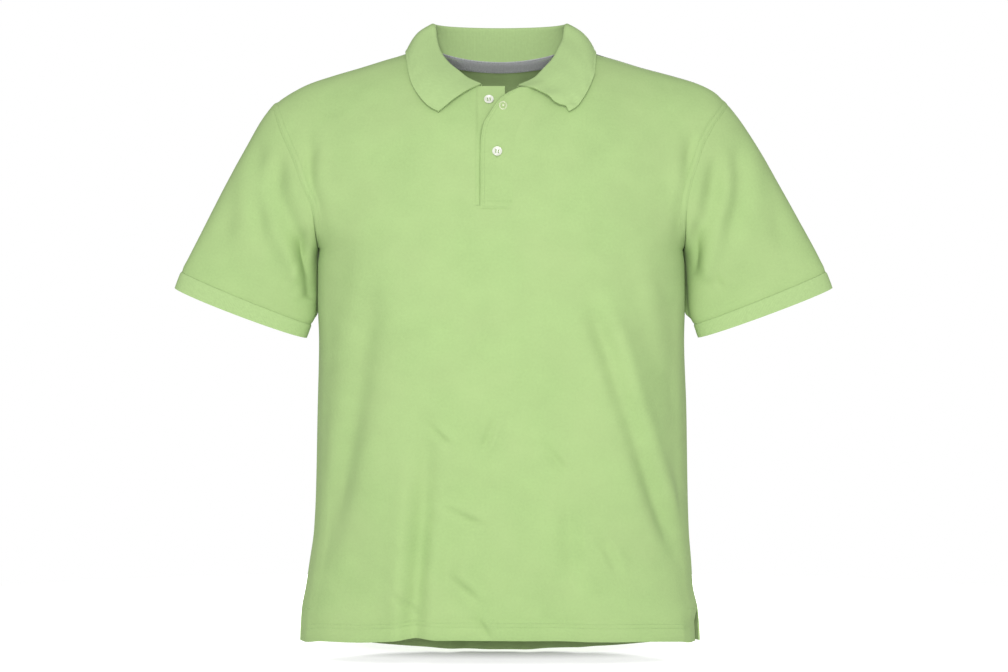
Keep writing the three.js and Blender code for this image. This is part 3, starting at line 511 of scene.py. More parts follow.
def even(function, count, low=0.0, high=1.0):
    """`count` + 1 values from low to high, evenly spaced along function(value)."""
    fine = np.linspace(low, high, 3001)
    run = run_along(function(fine))
    return np.interp(np.linspace(0, run[-1], count + 1), run, fine)


# ---- front and back ----

PLACKET_LEFT_EDGE = -29.5
PLACKET_TOP_Z = -48.4
BOX_SHARE = 0.25  # where the placket's opening ends, as a share of the way up from the underarm
placket_seam = Curve([
    (-203, 15.5), (-150, 15.5), (-120, 18), (-95, 25), (-75, 34), (-60, 41), (-45, 47),
])
BACK_MIDDLE = 30  # half the width of the back's middle columns
COLUMN_LEVEL = -60  # the columns are evenly spaced along the body at this level
ROW_X = 150  # and the upper rows along the body this far from its middle
HEM_LEVEL = -737
SIDE_COLUMNS = 80
MIDDLE_COLUMNS = 20
LOWER_ROWS = 140
UPPER_ROWS = 80
HEM_DEEP = 22  # the turned-up hem
TWIN_GAP = 5  # between the two rows of the hem's stitching
HEM_STITCHES = (HEM_DEEP, HEM_DEEP - TWIN_GAP)
ARMHOLE_STITCHES = (1.9, 7.4)
ARMHOLE_DENTS = (0.9, 0.75)  # how deep each row of armhole stitching lies
DENT_WIDE = 1.6
# how far the front's edges draw in and forward at the vents, by side
VENT_PULLS = ((-1, 1.5, 3), (1, 6.5, 7))


def placket_right(z):
    return placket_seam(np.clip(z, -203, -40))


def snap(values, value):
    """Moves the nearest of the values on to one value; gives its place."""
    place = int(np.argmin(np.abs(values - value)))
    values[place] = value
    return place


class Columns:
    """Where a panel's columns run: through the placket or the back's middle, and to the sides."""

    def __init__(self, face):
        self.front = face < 0
        tip = {side: float(HALF_WIDTH[side](TIP_Z)) for side in (-1, 1)}
        inner = {-1: -BACK_MIDDLE, 1: BACK_MIDDLE}
        if self.front:
            inner = {-1: PLACKET_LEFT_EDGE, 1: float(placket_right(PLACKET_TOP_Z))}
        shares = {}
        for side in (-1, 1):

            def section(share):
                x = side * mix(abs(inner[side]), tip[side], share)
                return np.stack([x, body_y(x, COLUMN_LEVEL, face)], -1)

            shares[side] = even(section, SIDE_COLUMNS)
            snap(shares[side], (NECK_HALF - abs(inner[side])) / (tip[side] - abs(inner[side])))
        middle = np.linspace(0, 1, MIDDLE_COLUMNS + 1)[1:-1]
        self.inner = inner
        self.top_x = np.concatenate([
            mix(inner[-1], -tip[-1], shares[-1])[::-1],
            mix(inner[-1], inner[1], middle),
            mix(inner[1], tip[1], shares[1]),
        ])
        counts = [SIDE_COLUMNS + 1, MIDDLE_COLUMNS - 1, SIDE_COLUMNS + 1]
        self.kinds = np.repeat([-1, 0, 1], counts)
        self.shares = np.concatenate([shares[-1][::-1], middle, shares[1]])

    def x(self, z):
        """The columns' x at their levels."""
        level = np.minimum(z, TIP_Z)
        low, high = -HALF_WIDTH[-1](level), HALF_WIDTH[1](level)
        a = np.full_like(z, self.inner[-1])
        b = placket_right(z) if self.front else np.full_like(z, self.inner[1])
        between = np.where(self.kinds > 0, mix(b, high, self.shares), mix(a, b, self.shares))
        return np.where(self.kinds < 0, mix(a, low, self.shares), between)


def panel_relief(grid, face):
    """Height of a panel's folds, of the pull of its seams, and of its turned-up hem."""
    u, v = arcs(grid, 1), arcs(grid, 0)
    from_ends = np.minimum(u, u[:, -1:] - u)
    upward = smooth(LOWER_ROWS - 2, LOWER_ROWS + 4, np.arange(len(grid)))[:, None]
    height = body_height(grid[..., 0], grid[..., 2], face)
    for distance, dent in zip(ARMHOLE_STITCHES, ARMHOLE_DENTS):
        height = height - upward * dent * bell(from_ends - distance, DENT_WIDE)
    # the seam allowance rises between the armhole's rows, and the cloth puckers beside them
    height = height + upward * 0.7 * bell(from_ends - 4.6, 2.0)
    pucker = np.sin(2 * math.pi * u / 7.5 + 1.3 * np.sin(u / 23))
    height = height + upward * 0.14 * pucker * bell(from_ends - ARMHOLE_STITCHES[1] - 2, 4)
    # the side seams and the hem's stitching lie low, and the hem's two layers stand proud
    height = height - 0.3 * (1 - upward) * bell(from_ends - 2.5, 2.5)
    for distance in HEM_STITCHES:
        height = height - bell(v - distance, DENT_WIDE)
    height = height + 0.9 * smooth(HEM_DEEP + 2, HEM_DEEP - 1, v) * (1 - smooth(3, 0, v))
    drift = u / 8.5 + 0.25 * (v - HEM_DEEP) / 6 + 0.6 * np.sin(u / 37)
    height = height + 0.22 * np.sin(2 * math.pi * drift) * bell(v - HEM_DEEP + 2.5, 8)
    return height * np.where(from_ends < 0.01, 0, 1), v


def open_vents(grid, x, z):
    """Draws the front's edges in from the back's, below the tops of the vents."""
    for side, pull, lift in VENT_PULLS:
        parted = smooth(VENT_TOP_Z + 4, VENT_TOP_Z - 20, z) * (x * side > 0)
        parted = parted * smooth(0.9, 1, np.abs(x) / half_width(z, x))
        grid[..., 0] -= side * parted * pull
        grid[..., 1] -= parted * lift


def panel(name, face):
    """The front (face -1) or the back (face 1), from the hem up to the shoulders and the neck."""
    columns = Columns(face)
    top, inner = columns.top_x, columns.inner
    under_neck = np.abs(top) <= NECK_HALF + 0.01
    top_z = np.where(under_neck, neck_z(top, face), shoulder_z(top))
    placket = (top >= inner[-1] - 0.01) & (top <= inner[1] + 0.01)
    if columns.front:
        top_z = np.where(placket, PLACKET_TOP_Z, top_z)

    def profile(share):
        z = mix(UNDERARM_Z, float(shoulder_z(ROW_X)), share)
        return np.stack([body_y(ROW_X, z, face), z], -1)

    upper = even(profile, UPPER_ROWS)
    box_row = LOWER_ROWS + snap(upper, BOX_SHARE)
    hem = HEM[face](columns.x(np.full_like(top, HEM_LEVEL)))
    lower = np.linspace(0, 1, LOWER_ROWS + 1)[:-1]
    z = np.concatenate([
        mix(hem, UNDERARM_Z, lower[:, None]),
        mix(UNDERARM_Z, top_z, upper[:, None]),
    ])
    x = np.array([columns.x(row) for row in z])
    grid = np.stack([x, body_y(x, z, face), z], -1)
    through = no_direction(grid)
    for column, side in ((0, -1), (-1, 1)):
        turn = np.arccos(1 - 2 * upper)
        point, inward, out = armhole_frame(side, turn if columns.front else 2 * math.pi - turn)
        point = point - out * HALF
        point[[0, -1], 1] = face * HALF
        grid[LOWER_ROWS:, column] = point
        grid[:LOWER_ROWS, column, 0] = side * HALF_WIDTH[side](z[:LOWER_ROWS, column])
        grid[:LOWER_ROWS, column, 1] = face * HALF
        through[LOWER_ROWS:, column] = inward
        through[:LOWER_ROWS, column] = (-side, 0, 0)
    grid[-1, ~under_neck, 1] = face * HALF
    through[-1, ~under_neck] = (0, 0, -1)
    kept = np.ones((len(z) - 1, len(top) - 1), bool)
    if columns.front:
        kept[box_row:, placket[:-1] & placket[1:]] = False
        first, last = np.flatnonzero(placket)[[0, -1]]
        through[box_row:, [first, last]] = (0, 1, 0)
        through[box_row, first : last + 1] = (0, 1, 0)
    else:
        grid, through, kept = grid[:, ::-1], through[:, ::-1], kept[:, ::-1]
    height, v = panel_relief(grid, face)
    x, z = grid[..., 0].copy(), grid[..., 2].copy()
    grid = grid + grid_normals(grid, kept) * height[..., None]
    if columns.front:
        open_vents(grid, x, z)
    thickness = CLOTH + 0.9 * smooth(HEM_DEEP + 1.2, HEM_DEEP - 1.2, v)
    cloth = Cloth(name, grid, thickness, kept, through)
    cloth.upper_rows = range(LOWER_ROWS + 1, len(z) - 1)
    return cloth


front = panel("front_cloth", -1)
back = panel("back_cloth", 1)

# ---- sleeves and cuffs ----

# along the sleeve, outer edge's x and level, inner edge's x and level, half depth, sag
SLEEVES = {
    -1: [
        (0, 284, -69, 226, -250, 60, 0), (0.12, 298, -88, 227.4, -259, 57, 0),
        (0.3, 320, -127, 228, -274, 52, 0), (0.5, 344, -171, 228.4, -293, 45, 1),
        (0.7, 366, -214, 228.8, -313, 37, 2), (0.88, 386, -253, 230.5, -332, 30, 3),
        (1, 398, -277, 236, -343, 27, 3), (1.13, 406, -297.5, 242, -359.3, 26, 4.5),
    ],
    1: [
        (0, 284, -68, 229, -250, 60, 0), (0.12, 299, -87, 231, -259, 57, 0),
        (0.3, 325, -127, 232.5, -274, 52, 0), (0.5, 350, -171, 233.5, -293, 45, 1),
        (0.7, 374, -214, 234.5, -313, 37, 2), (0.88, 395.5, -253, 237, -332, 30, 3),
        (1, 407, -277, 242.5, -343, 27, 2.5), (1.13, 415, -297.3, 248, -359, 26, 3.5),
    ],
}
SLEEVE_CURVES = {side: [Curve(rows, 0, k) for k in range(1, 7)] for side, rows in SLEEVES.items()}
AROUND = 132  # columns round a sleeve
SLEEVE_ROWS = 66
CUFF_ROWS = 12
CUFF_END = 1.13  # along the sleeve, whose own cloth ends at 1
SLEEVE_SEEDS = {-1: 41, 1: 53}
LEAN_GAP = 0.5  # left between the body's side and the sleeve's underside leaning on it


def tube_point(side, along, turn):
    """A point of the sleeve without folds; along 0 is the armhole, 1 the cuff's seam."""
    along, turn = np.broadcast_arrays(np.asarray(along, float), np.asarray(turn, float))
    share, bulge = (1 - np.cos(turn)) / 2, np.abs(np.sin(turn))
    face = np.where(np.sin(turn) > 0, -1, 1)

    def form(at):
        outer_x, outer_z, inner_x, inner_z, deep, sag = (c(at) for c in SLEEVE_CURVES[side])
        x, z = mix(inner_x, outer_x, share), mix(inner_z, outer_z, share)
        return np.stack([side * x, face * deep * bulge**0.9, z - sag * bulge], -1)

    point, _, out = armhole_frame(side, turn)
    keep = np.maximum(0, 1 - along)[..., None] ** 3
    return form(along) + (point + out * HALF - form(np.zeros_like(along))) * keep


def tube_inward(side, along, turn):
    """The way into the sleeve at its points."""
    tangent = tube_point(side, along, turn + TURN_STEP) - tube_point(side, along, turn - TURN_STEP)
    run = tube_point(side, along + 0.1, turn) - tube_point(side, along, turn)
    inward = unit(np.cross(tangent, run))
    inner, outer = tube_point(side, along, 0 * turn), tube_point(side, along, 0 * turn + math.pi)
    centre = 0.5 * (inner + outer)
    towards = centre - tube_point(side, along, turn)
    return inward * np.sign((inward * towards).sum(-1, keepdims=True))


def even_turns(side, along):
    return even(lambda turn: tube_point(side, along, turn), AROUND, 0, 2 * math.pi)[:-1]


def tube(side, name, grid, through, thickness):
    """A ring of cloth, with rows from the cuff up and columns to the right seen from outside."""
    grid, through = (g[::-1] if side > 0 else g[::-1, ::-1] for g in (grid, through))
    return Cloth(name, grid, thickness, through=through, ring=True)


def sleeve(side, name):
    start, end = even_turns(side, 0.0), even_turns(side, 1.0)
    along = np.concatenate([[0, 0.008], np.linspace(0, 0.9987, SLEEVE_ROWS)[1:]])[:, None]
    turn = mix(start, end, smooth(0, 0.8, along))
    grid = tube_point(side, along, turn)
    inward = tube_inward(side, along, turn)
    x, z = grid[..., 0], grid[..., 2]
    share = (1 - np.cos(turn)) / 2
    front_half = smooth(-0.25, 0.25, np.sin(turn))
    seed = SLEEVE_SEEDS[side]
    height = (0.25 + 0.75 * front_half) * fold_height(x, z, SLEEVE_FOLDS[side])
    height = height + 0.55 * swell(x, z + 70 * front_half, 80, seed)
    height = height + 0.16 * swell(x, z, 25, seed + 1)
    # its folds fade towards both seams and towards the edges seen from the front
    height = height * smooth(0, 0.12, along) * (1 - smooth(0.86, 1, along))
    height = height * np.sqrt(np.clip(4 * share * (1 - share), 0, 1))
    # the seams lie low, with a ridge over the cuff's seam allowance
    height = height - 0.45 * bell(along, 0.012) - 0.5 * bell(along - 1, 0.014)
    height = height + 0.35 * bell(along - 0.962, 0.016)
    grid = grid - inward * height[..., None]
    # behind its front edge the underside leans on the body's side
    leaning = smooth(0.03, 0.3, -np.sin(turn)) * smooth(0.12, 0.05, share)
    leaning = leaning * smooth(0.04, 0.2, along) * (1 - smooth(0.84, 0.96, along))
    body_edge = side * (half_width(z, x) + LEAN_GAP)
    grid[..., 0] = mix(grid[..., 0], body_edge, leaning)
    through = no_direction(grid)
    through[0] = armhole_frame(side, turn[0])[1]
    through[-1] = inward[-1]
    return tube(side, name, grid, through, CLOTH)


def cuff(side, name):
    along = np.concatenate([[1, 1.003], np.linspace(1, CUFF_END, CUFF_ROWS)[1:]])[:, None]
    turn = even_turns(side, 1) + 0 * along
    grid = tube_point(side, along, turn)
    inward = tube_inward(side, np.maximum(1.0, along), turn)
    share = (along - 1) / (CUFF_END - 1)
    proud = 0.9 * smooth(0, 0.12, share) - 0.25 * smooth(0.75, 1, share)
    grid = grid - inward * (proud * np.ones_like(turn))[..., None]
    through = no_direction(grid)
    through[0] = inward[0]
    return tube(side, name, grid, through, RIB)


sleeves = {-1: sleeve(-1, "sleeve_right_cloth"), 1: sleeve(1, "sleeve_left_cloth")}
cuffs = {-1: cuff(-1, "cuff_right_rib"), 1: cuff(1, "cuff_left_rib")}

# ---- collar ----

FOLD_HALF = 84  # half the width of the collar's top fold
FOLD_BACK = 51  # how far behind the middle it passes
FOLD_RADIUS = 3.4  # from the fold's middle to the rib's outer face
FOLD_FULLER = 0.8  # how much rounder the fold is at the neck's sides
FRONT_REACH = 68  # how far in front of the middle the collar's ends are
COLLAR_END = math.degrees(math.pi - math.asin(25 / NECK_HALF))
COLLAR_COLUMNS = 210
STAND_ROWS = 14
TURN_ROWS = 10
LEAF_ROWS = 36
LEAF_LIFT = 5.5  # the leaf's edge stands this far off the panels
BOW_OUT, BOW_UP = 5.6, 3.15  # how far the leaf bows out and up between its fold and its edge
LEAF_FRONT = 100  # degrees round the neck where the leaf's front edge begins
NECK_LEAN = (0.87, -0.49)  # the way through the cloth at the neck's edge: inward, and down

# angle round the neck from the back's middle, x and level of the turned-down leaf's edge
LEAF_EDGES = {
    -1: [(0, 0, -22), (30, 58, -21), (60, 98, -17), (75, 111.5, -12), (90, 116, -6), (105, 114, -25),
         (120, 109, -46), (135, 100, -62), (150, 88, -76), (165, 74, -84)],
    1: [(0, 0, -22), (30, 58, -21), (60, 98, -17), (75, 112.5, -12), (90, 118, -6), (105, 118, -27),
        (120, 112, -47), (135, 104, -63), (150, 95, -76), (165, 83.5, -84)],
}
# angle round the neck, level of the fold's middle
FOLD_LEVELS = {
    -1: [(0, 29.5), (60, 29.5), (86, 29.3), (95, 26), (103, 13), (118, -9), (131, -23), (143.5, -34.5),
         (152, -43), (165, -51.5)],
    1: [(0, 29.5), (60, 29.5), (86, 29.3), (95, 26), (106, 10), (117.4, -2), (126.5, -15), (141, -32),
        (150, -43), (165, -53)],
}
# share of the way down the left leaf's front edge, how far it is puckered upward
RIPPLE = Curve([(0, 0), (0.3, 3), (0.56, 3.4), (0.7, 0.4), (0.79, 0.8), (0.94, 4.8), (1, 0)])
FOLD_LEVEL = {side: Curve(rows) for side, rows in FOLD_LEVELS.items()}
LEAF_EDGE = {side: (Curve(rows, 0, 1), Curve(rows, 0, 2)) for side, rows in LEAF_EDGES.items()}


def neck_frame(x, face):
    """The neck line's points, the way through the cloth there, and the way up it."""
    z = neck_z(x, face)
    edge = np.abs(x) >= NECK_HALF - 0.01
    y = np.where(edge, 0, body_y(x, z, face) - face * HALF)
    depth = DEPTH[face](math.sqrt(NECK_DROP[face]))
    inward = unit(np.stack([-x / NECK_HALF**2, -y / depth**2, np.zeros_like(x)], -1))
    inward = unit(NECK_LEAN[0] * inward + np.array([0, 0, NECK_LEAN[1]]))
    lift = unit(np.array([0, 0, 1.0]) - inward[..., 2:] * inward)
    return np.stack([x, y, z], -1), inward, lift


def off_body(x, z, face, lift):
    """A point on the body's outer face moved straight out from it."""
    step = 1.5
    low = np.minimum(z, shoulder_z(x) - 0.02)
    slope_x = (body_y(x + step, low, face) - body_y(x - step, low, face)) / (2 * step)
    slope_z = (body_y(x, low, face) - body_y(x, low - step, face)) / step
    out = unit(np.stack([-face * slope_x, face + 0 * x, -face * slope_z], -1))
    ridge = z >= shoulder_z(x) - 0.5
    over = unit(np.stack([np.sign(x) * 0.3, 0 * x, 1 + 0 * x], -1))
    out = np.where(ridge[..., None], over, out)
    y = np.where(ridge, 0, body_y(x, low, face))
    return np.stack([x, y, low], -1) + out * lift


def evened(line, rounds):
    """The line's points averaged with their neighbours; its ends stay."""
    line = line.copy()
    for _ in range(rounds):
        line[1:-1] = 0.25 * line[:-2] + 0.5 * line[1:-1] + 0.25 * line[2:]
    return line


def collar_grid():
    """The collar's points, from the stand's seam over the fold to the leaf's edge."""
    degrees = np.linspace(-COLLAR_END, COLLAR_END, COLLAR_COLUMNS)
    side, size = np.where(degrees < 0, -1, 1), np.abs(degrees)
    across, ahead = np.sin(np.radians(size)), np.cos(np.radians(size))
    seam_x = side * NECK_HALF * across
    ends = zip(neck_frame(seam_x, 1), neck_frame(seam_x, -1))
    base, inward, lift = (np.where((ahead >= 0)[:, None], b, f) for b, f in ends)
    base = base + lift * HALF
    forward = np.maximum(0, -ahead) * FRONT_REACH
    fold_line = np.stack([
        side * FOLD_HALF * across,
        np.where(ahead < 0, -forward, ahead * FOLD_BACK),
        np.where(side < 0, FOLD_LEVEL[-1](size), FOLD_LEVEL[1](size)),
    ], -1)
    radius = (FOLD_RADIUS + FOLD_FULLER * bell(size - 92, 26))[:, None]
    reach = np.where(ahead < 0, FRONT_REACH, FOLD_BACK)
    outward = unit(np.stack([side * across / FOLD_HALF, ahead / reach, 0 * ahead], -1))
    edge = []
    for d, s, a in zip(size, side, ahead):
        ex, ez = s * LEAF_EDGE[s][0](d), LEAF_EDGE[s][1](d)
        face = -1 if a < 0 else 1
        lifted = off_body(np.array(ex), np.array(ez), face, LEAF_LIFT)
        if d > LEAF_FRONT:  # the lifted edge, and not its foot, follows the table
            lifted = off_body(2 * ex - lifted[0], 2 * ez - lifted[2], face, LEAF_LIFT)
        edge.append(lifted)
    edge = evened(np.array(edge), 6)
    start = base + inward * RIB
    fold_in, fold_out = fold_line - outward * radius, fold_line + outward * radius
    column = [mix(start, fold_in, t) for t in np.linspace(0, 1, STAND_ROWS)]
    # the fold turns until it runs the way the leaf sets off
    chord = edge - fold_out
    sets_out = (chord * outward).sum(-1) + math.pi * BOW_OUT
    sets_up = chord[:, 2] + math.pi * BOW_UP
    last_turn = math.pi / 2 + np.clip(np.arctan2(-sets_up, sets_out), 0.2, math.pi / 2)
    for share in np.linspace(0, 1, TURN_ROWS)[1:]:
        turn = (share * last_turn)[:, None]
        rise = np.concatenate([0 * turn, 0 * turn, np.sin(turn)], -1)
        column.append(fold_line - outward * radius * np.cos(turn) + rise * radius)
    leaf = []
    for t in np.linspace(0, 1, LEAF_ROWS + 1)[1:]:
        bow = math.sin(math.pi * t) * (1 - 0.35 * t)
        spot = mix(column[-1], edge, t) + outward * bow * BOW_OUT
        spot[:, 2] += bow * BOW_UP
        leaf.append(spot)
    grid = np.array(column + leaf)
    through = no_direction(grid)
    through[0] = -inward
    return grid, through, degrees


def collar():
    grid, through, degrees = collar_grid()
    rows = np.arange(len(grid))
    leaf = np.clip((rows - STAND_ROWS - TURN_ROWS + 2) / LEAF_ROWS, 0, 1)[:, None]
    # the wearer's left front edge ripples, and the leaves wave a little along their edges
    near_end = smooth(COLLAR_END - 16, COLLAR_END, degrees)[None, :]
    grid[..., 2] += near_end * RIPPLE(leaf)
    rolling = smooth(COLLAR_END - 34, COLLAR_END - 4, degrees)[None, :] * smooth(0, 0.25, leaf)
    grid[..., 1] -= rolling * 1.5 * np.sin(2 * math.pi * (1.9 * leaf))
    normals = grid_normals(grid)
    wave = 0.5 * swell(3.2 * degrees[None, :] + 0 * leaf, 60 * leaf, 46, 67) * leaf
    rim = -0.35 * bell((1 - leaf) * 60 - 5, 2.2)  # the sewn edge's dent
    grid = grid + normals * (wave + rim * (leaf > 0))[..., None]
    return Cloth("collar_rib", grid, RIB, through=through)


collar_piece = collar()

# ---- neck tape ----

TAPE = 0.9  # thickness
TAPE_HALF = 89  # half its width across the neck
TAPE_UP, TAPE_DOWN = 4.5, 8.0  # how far it reaches above and below the neck seam
TAPE_COLUMNS = 110


def neck_tape():
    x = NECK_HALF * np.sin(np.linspace(-1, 1, TAPE_COLUMNS) * math.asin(TAPE_HALF / NECK_HALF))
    base, inward, lift = neck_frame(x, 1)
    within = CLOTH + 0.4 + TAPE
    rows = [off_body(x, neck_z(x, 1) - drop, 1, -within) for drop in np.linspace(TAPE_DOWN, 2.5, 6)]
    above = base + inward * (RIB + SEAM + TAPE)
    rows += [above + lift * rise for rise in np.linspace(1.2, TAPE_UP, 4)]
    return Cloth("neck_tape_band", evened(np.array(rows), 4), TAPE)


tape_piece = neck_tape()

# ---- placket ----

# level, free edge's x, how far the edge stands off the front there
FREE_EDGE = [
    (-204, -23.5, 0), (-130, -23.5, 0), (-114, -22.5, 1), (-99, -19.5, 3), (-88, -13.5, 5), (-76, -6, 7),
    (-66, 2, 8), (-60, 11, 8), (-53, 24, 6),
]
free_edge_x, free_edge_stand = Curve(FREE_EDGE, 0, 1), Curve(FREE_EDGE, 0, 2)
UPPER_PROUD = 1.1  # how far the upper placket lies above the front panel
LOWER_SUNK = 3.2  # how far the lower placket lies under it
UNDER_SUNK = 1.4  # how far the lower placket lies in where it shows
BOX_BOTTOM_Z = -203.5
BOX_STITCHES = (2, 9)  # above the box's bottom
TURNING_Z = -115  # above it the upper placket's edge turns back, in closer rows
UPPER_TOP_Z = -53
UNDER_BOTTOM_Z, UNDER_TOP_Z = -199.3, -51
UNDER_LEFT_X, UNDER_RIGHT_X = -29.45, 6
NECK_BUTTON = (-13.5, -68)
LOWER_BUTTON = (-3.4, -134)
NECK_HOLE = (3.8, -76.5)  # the undone button's hole


def front_y(x, z):
    return body_y(x, z, -1) - body_height(x, z, -1)


def placket_top():
    straight, turning = np.linspace(BOX_BOTTOM_Z, TURNING_Z, 50), np.linspace(TURNING_Z, UPPER_TOP_Z, 46)
    z = np.concatenate([straight[:-1], turning])[:, None]
    share = np.linspace(0, 1, 30)[None, :]
    x = mix(free_edge_x(z), placket_right(z), share)
    stand = free_edge_stand(z) * (1 - share) ** 1.5
    free, rise = x - free_edge_x(z), z - BOX_BOTTOM_Z
    loose = 1 - smooth(0.6, 1, share)
    proud = UPPER_PROUD * loose * mix(0.2, 1, smooth(0, 14, rise)) + stand
    # it swells a little where it is loose, and lies lower along its stitching
    relief = 0.35 * swell(x, z, 26, 91) * loose
    relief = relief - 0.4 * bell(free - 1.9, 0.9) + 0.25 * bell(free - 4.5, 2)
    relief = relief - 0.12 * bell(placket_right(z) - x - 1.6, 1.1)
    relief = relief - 0.35 * (bell(rise - BOX_STITCHES[0], 1.2) + bell(rise - BOX_STITCHES[1], 1.2))
    y = front_y(x, z) - proud - relief
    grid = np.stack([x, y, z + 0 * x], -1)
    through = no_direction(grid)
    through[0] = through[:, -1] = (0, 1, 0)
    thickness = mix(1.0, 1.7, smooth(-196, -190, z)) + 0 * x
    return Cloth("placket_top_band", grid, thickness, through=through)


def placket_under():
    z = np.linspace(UNDER_BOTTOM_Z, UNDER_TOP_Z, 76)[:, None]
    x = np.linspace(UNDER_LEFT_X, UNDER_RIGHT_X, 30)[None, :] + 0 * z
    edge = free_edge_x(z)
    sunk = UNDER_SUNK * smooth(-29.2, -26.5, x) * smooth(-125, -105, z)
    sunk = sunk + (LOWER_SUNK - UNDER_SUNK) * smooth(edge - 2.2, edge + 0.8, x)
    y = front_y(x, z) + sunk - 0.2 * swell(x, z, 22, 97) * smooth(-29.2, -26, x)
    grid = np.stack([x, y, z + 0 * x], -1)
    through = no_direction(grid)
    through[0] = through[:, 0] = (0, 1, 0)
    return Cloth("placket_under_band", grid, 1.5, through=through)


placket_upper, placket_lower = placket_top(), placket_under()

# ---- stitches ----

THREAD = 0.3  # thread's half thickness
THREAD_SIDES = 6
RING_THREADS = 43  # round a buttonhole
TACK_THREADS = 14  # in the bar at the top of a vent


def threads(starts, ends, normals, radius):
    """Points and faces of short tapered threads, each lying on the cloth from start to end."""
    count = len(starts)
    along = unit(ends - starts)
    side = unit(np.cross(along, normals))
    up = unit(np.cross(side, along))
    points = [starts, ends]
    for share in (0.22, 0.78):
        for turn in full_turn(THREAD_SIDES):
            around = side * math.cos(turn) + up * math.sin(turn)
            points.append(mix(starts, ends, share) + radius * around)
    points = np.stack(points, 1)
    faces = []
    for k in range(THREAD_SIDES):
        j = (k + 1) % THREAD_SIDES
        a, b, c, d = 2 + k, 2 + j, 2 + THREAD_SIDES + j, 2 + THREAD_SIDES + k
        faces += [(0, b, a), (1, d, c), (a, b, c), (a, c, d)]
    faces = np.array(faces)[None] + (np.arange(count) * points.shape[1])[:, None, None]
    return points.reshape(-1, 3), faces.reshape(-1, 3)


class Sewing:
    """All the threads of one piece, gathered into one mesh."""

    def __init__(self):
        self.points, self.faces, self.count = [], [], 0

    def add(self, starts, ends, normals, radius=THREAD):
        points, faces = threads(starts, ends, normals, radius)
        self.points.append(points)
        self.faces.append(faces + self.count)
        self.count += len(points)

    def run(self, line, pitch=2.6, fill=0.72, raised=0.12):
        """A row of running stitches along a line of points with normals."""
        points, normals = line
        lifted = points + normals * raised
        run, lifted_run = run_along(points), run_along(lifted)
        spots = np.arange(pitch / 2, run[-1] - pitch, pitch)
        starts = along_line(lifted, lifted_run, spots)
        ends = along_line(lifted, lifted_run, spots + fill * pitch)
        self.add(starts, ends, along_line(normals, run, spots))

    def piece(self, name):
        return mesh_object(name, np.concatenate(self.points), np.concatenate(self.faces), sharp=180)


def vent_tack(sewing, cloth, end):
    """A short bar of close stitches at the top of a vent."""
    row = int(np.argmin(np.abs(cloth.grid[:, end, 2] - VENT_TOP_Z)))
    columns = np.linspace(0.4, 2.4, TACK_THREADS)
    if end:
        columns = cloth.grid.shape[1] - 1 - columns
    points, normals = cloth.at(row, columns)
    points, up = points + normals * 0.2, np.array([0, 0, 0.8])
    sewing.add(points - up, points + up, normals)


def panel_stitches(cloth, name):
    """The twin rows above a panel's hem and beside its armholes, and its vents' tacks."""
    sewing = Sewing()
    columns = np.arange(2, cloth.grid.shape[1] - 2)
    for distance in HEM_STITCHES:
        sewing.run(cloth.above_hem(distance, columns))
    for end in (0, -1):
        for distance in ARMHOLE_STITCHES:
            sewing.run(cloth.beside_end(distance, cloth.upper_rows, end))
    for end in (0, -1):
        vent_tack(sewing, cloth, end)
    return sewing.piece(name)


def on_grid(cloth, x, z):
    """Points and normals of a placket band at places seen from the front."""
    r = np.interp(z, cloth.grid[:, 0, 2], np.arange(len(cloth.grid)))
    c = []
    for row, where in zip(r, x):
        c.append(np.interp(where, cloth.grid[int(round(row)), :, 0], np.arange(cloth.grid.shape[1])))
    return cloth.at(r, c)


def satin_ring(sewing, cloth, x, z, wide, tall, half):
    """A worked buttonhole: close stitches round an oval."""
    turn = full_turn(RING_THREADS)
    cos, sin = np.cos(turn), np.sin(turn)
    points, normals = on_grid(cloth, x + wide * cos, z + tall * sin)
    beyond, _ = on_grid(cloth, x + (wide + 1) * cos, z + (tall + 1) * sin)
    across = half * unit(beyond - points)
    points = points + normals * 0.25
    sewing.add(points - across, points + across, normals, 0.34)


def placket_stitches(name):
    """The upper placket's edge, its box and the fastened button's hole."""
    sewing = Sewing()
    z = np.linspace(BOX_BOTTOM_Z + 2, -58, 90)
    for inset in (1.7, 4.8):
        sewing.run(on_grid(placket_upper, free_edge_x(z) + inset, z), 2.2)
    for rise in BOX_STITCHES:
        level = BOX_BOTTOM_Z + rise
        x = np.linspace(float(free_edge_x(level)) + 1.7, float(placket_right(level)) - 0.8, 24)
        sewing.run(on_grid(placket_upper, x, np.full_like(x, level)), 2.2)
    satin_ring(sewing, placket_upper, *LOWER_BUTTON, 0.9, 7.4, 0.75)
    return sewing.piece(name)


def neck_hole_stitches(name):
    """The undone button's hole, worked round in pale thread, and its bar tack."""
    sewing = Sewing()
    satin_ring(sewing, placket_upper, *NECK_HOLE, 4.1, 4.6, 1.0)
    satin_ring(sewing, placket_upper, NECK_HOLE[0] + 0.4, NECK_HOLE[1] + 0.3, 0.5, 1.0, 0.8)
    return sewing.piece(name)


def neck_tape_stitches(name):
    """One row of stitches along each edge of the neck tape."""
    sewing = Sewing()
    for row in (1.0, 8.0):
        sewing.run(tape_piece.at(row, np.arange(1, TAPE_COLUMNS - 1)), 2.4)
    return sewing.piece(name)


# ---- buttons ----

BUTTON_SIDES = 56
BUTTON_HOLE = 0.85
HOLE_SPREAD = 1.55
HOLE_CORNERS = [(HOLE_SPREAD * a, HOLE_SPREAD * b) for a, b in ((1, 1), (-1, 1), (-1, -1), (1, -1))]
HOLE_SIDES = 20
THREAD_LEVEL = 1.35  # height of its thread above the button's seat
THREAD_APART = 0.28  # half the gap between two threads through one hole
BUTTON_DISH = 4.0  # radius of the button's sunken middle
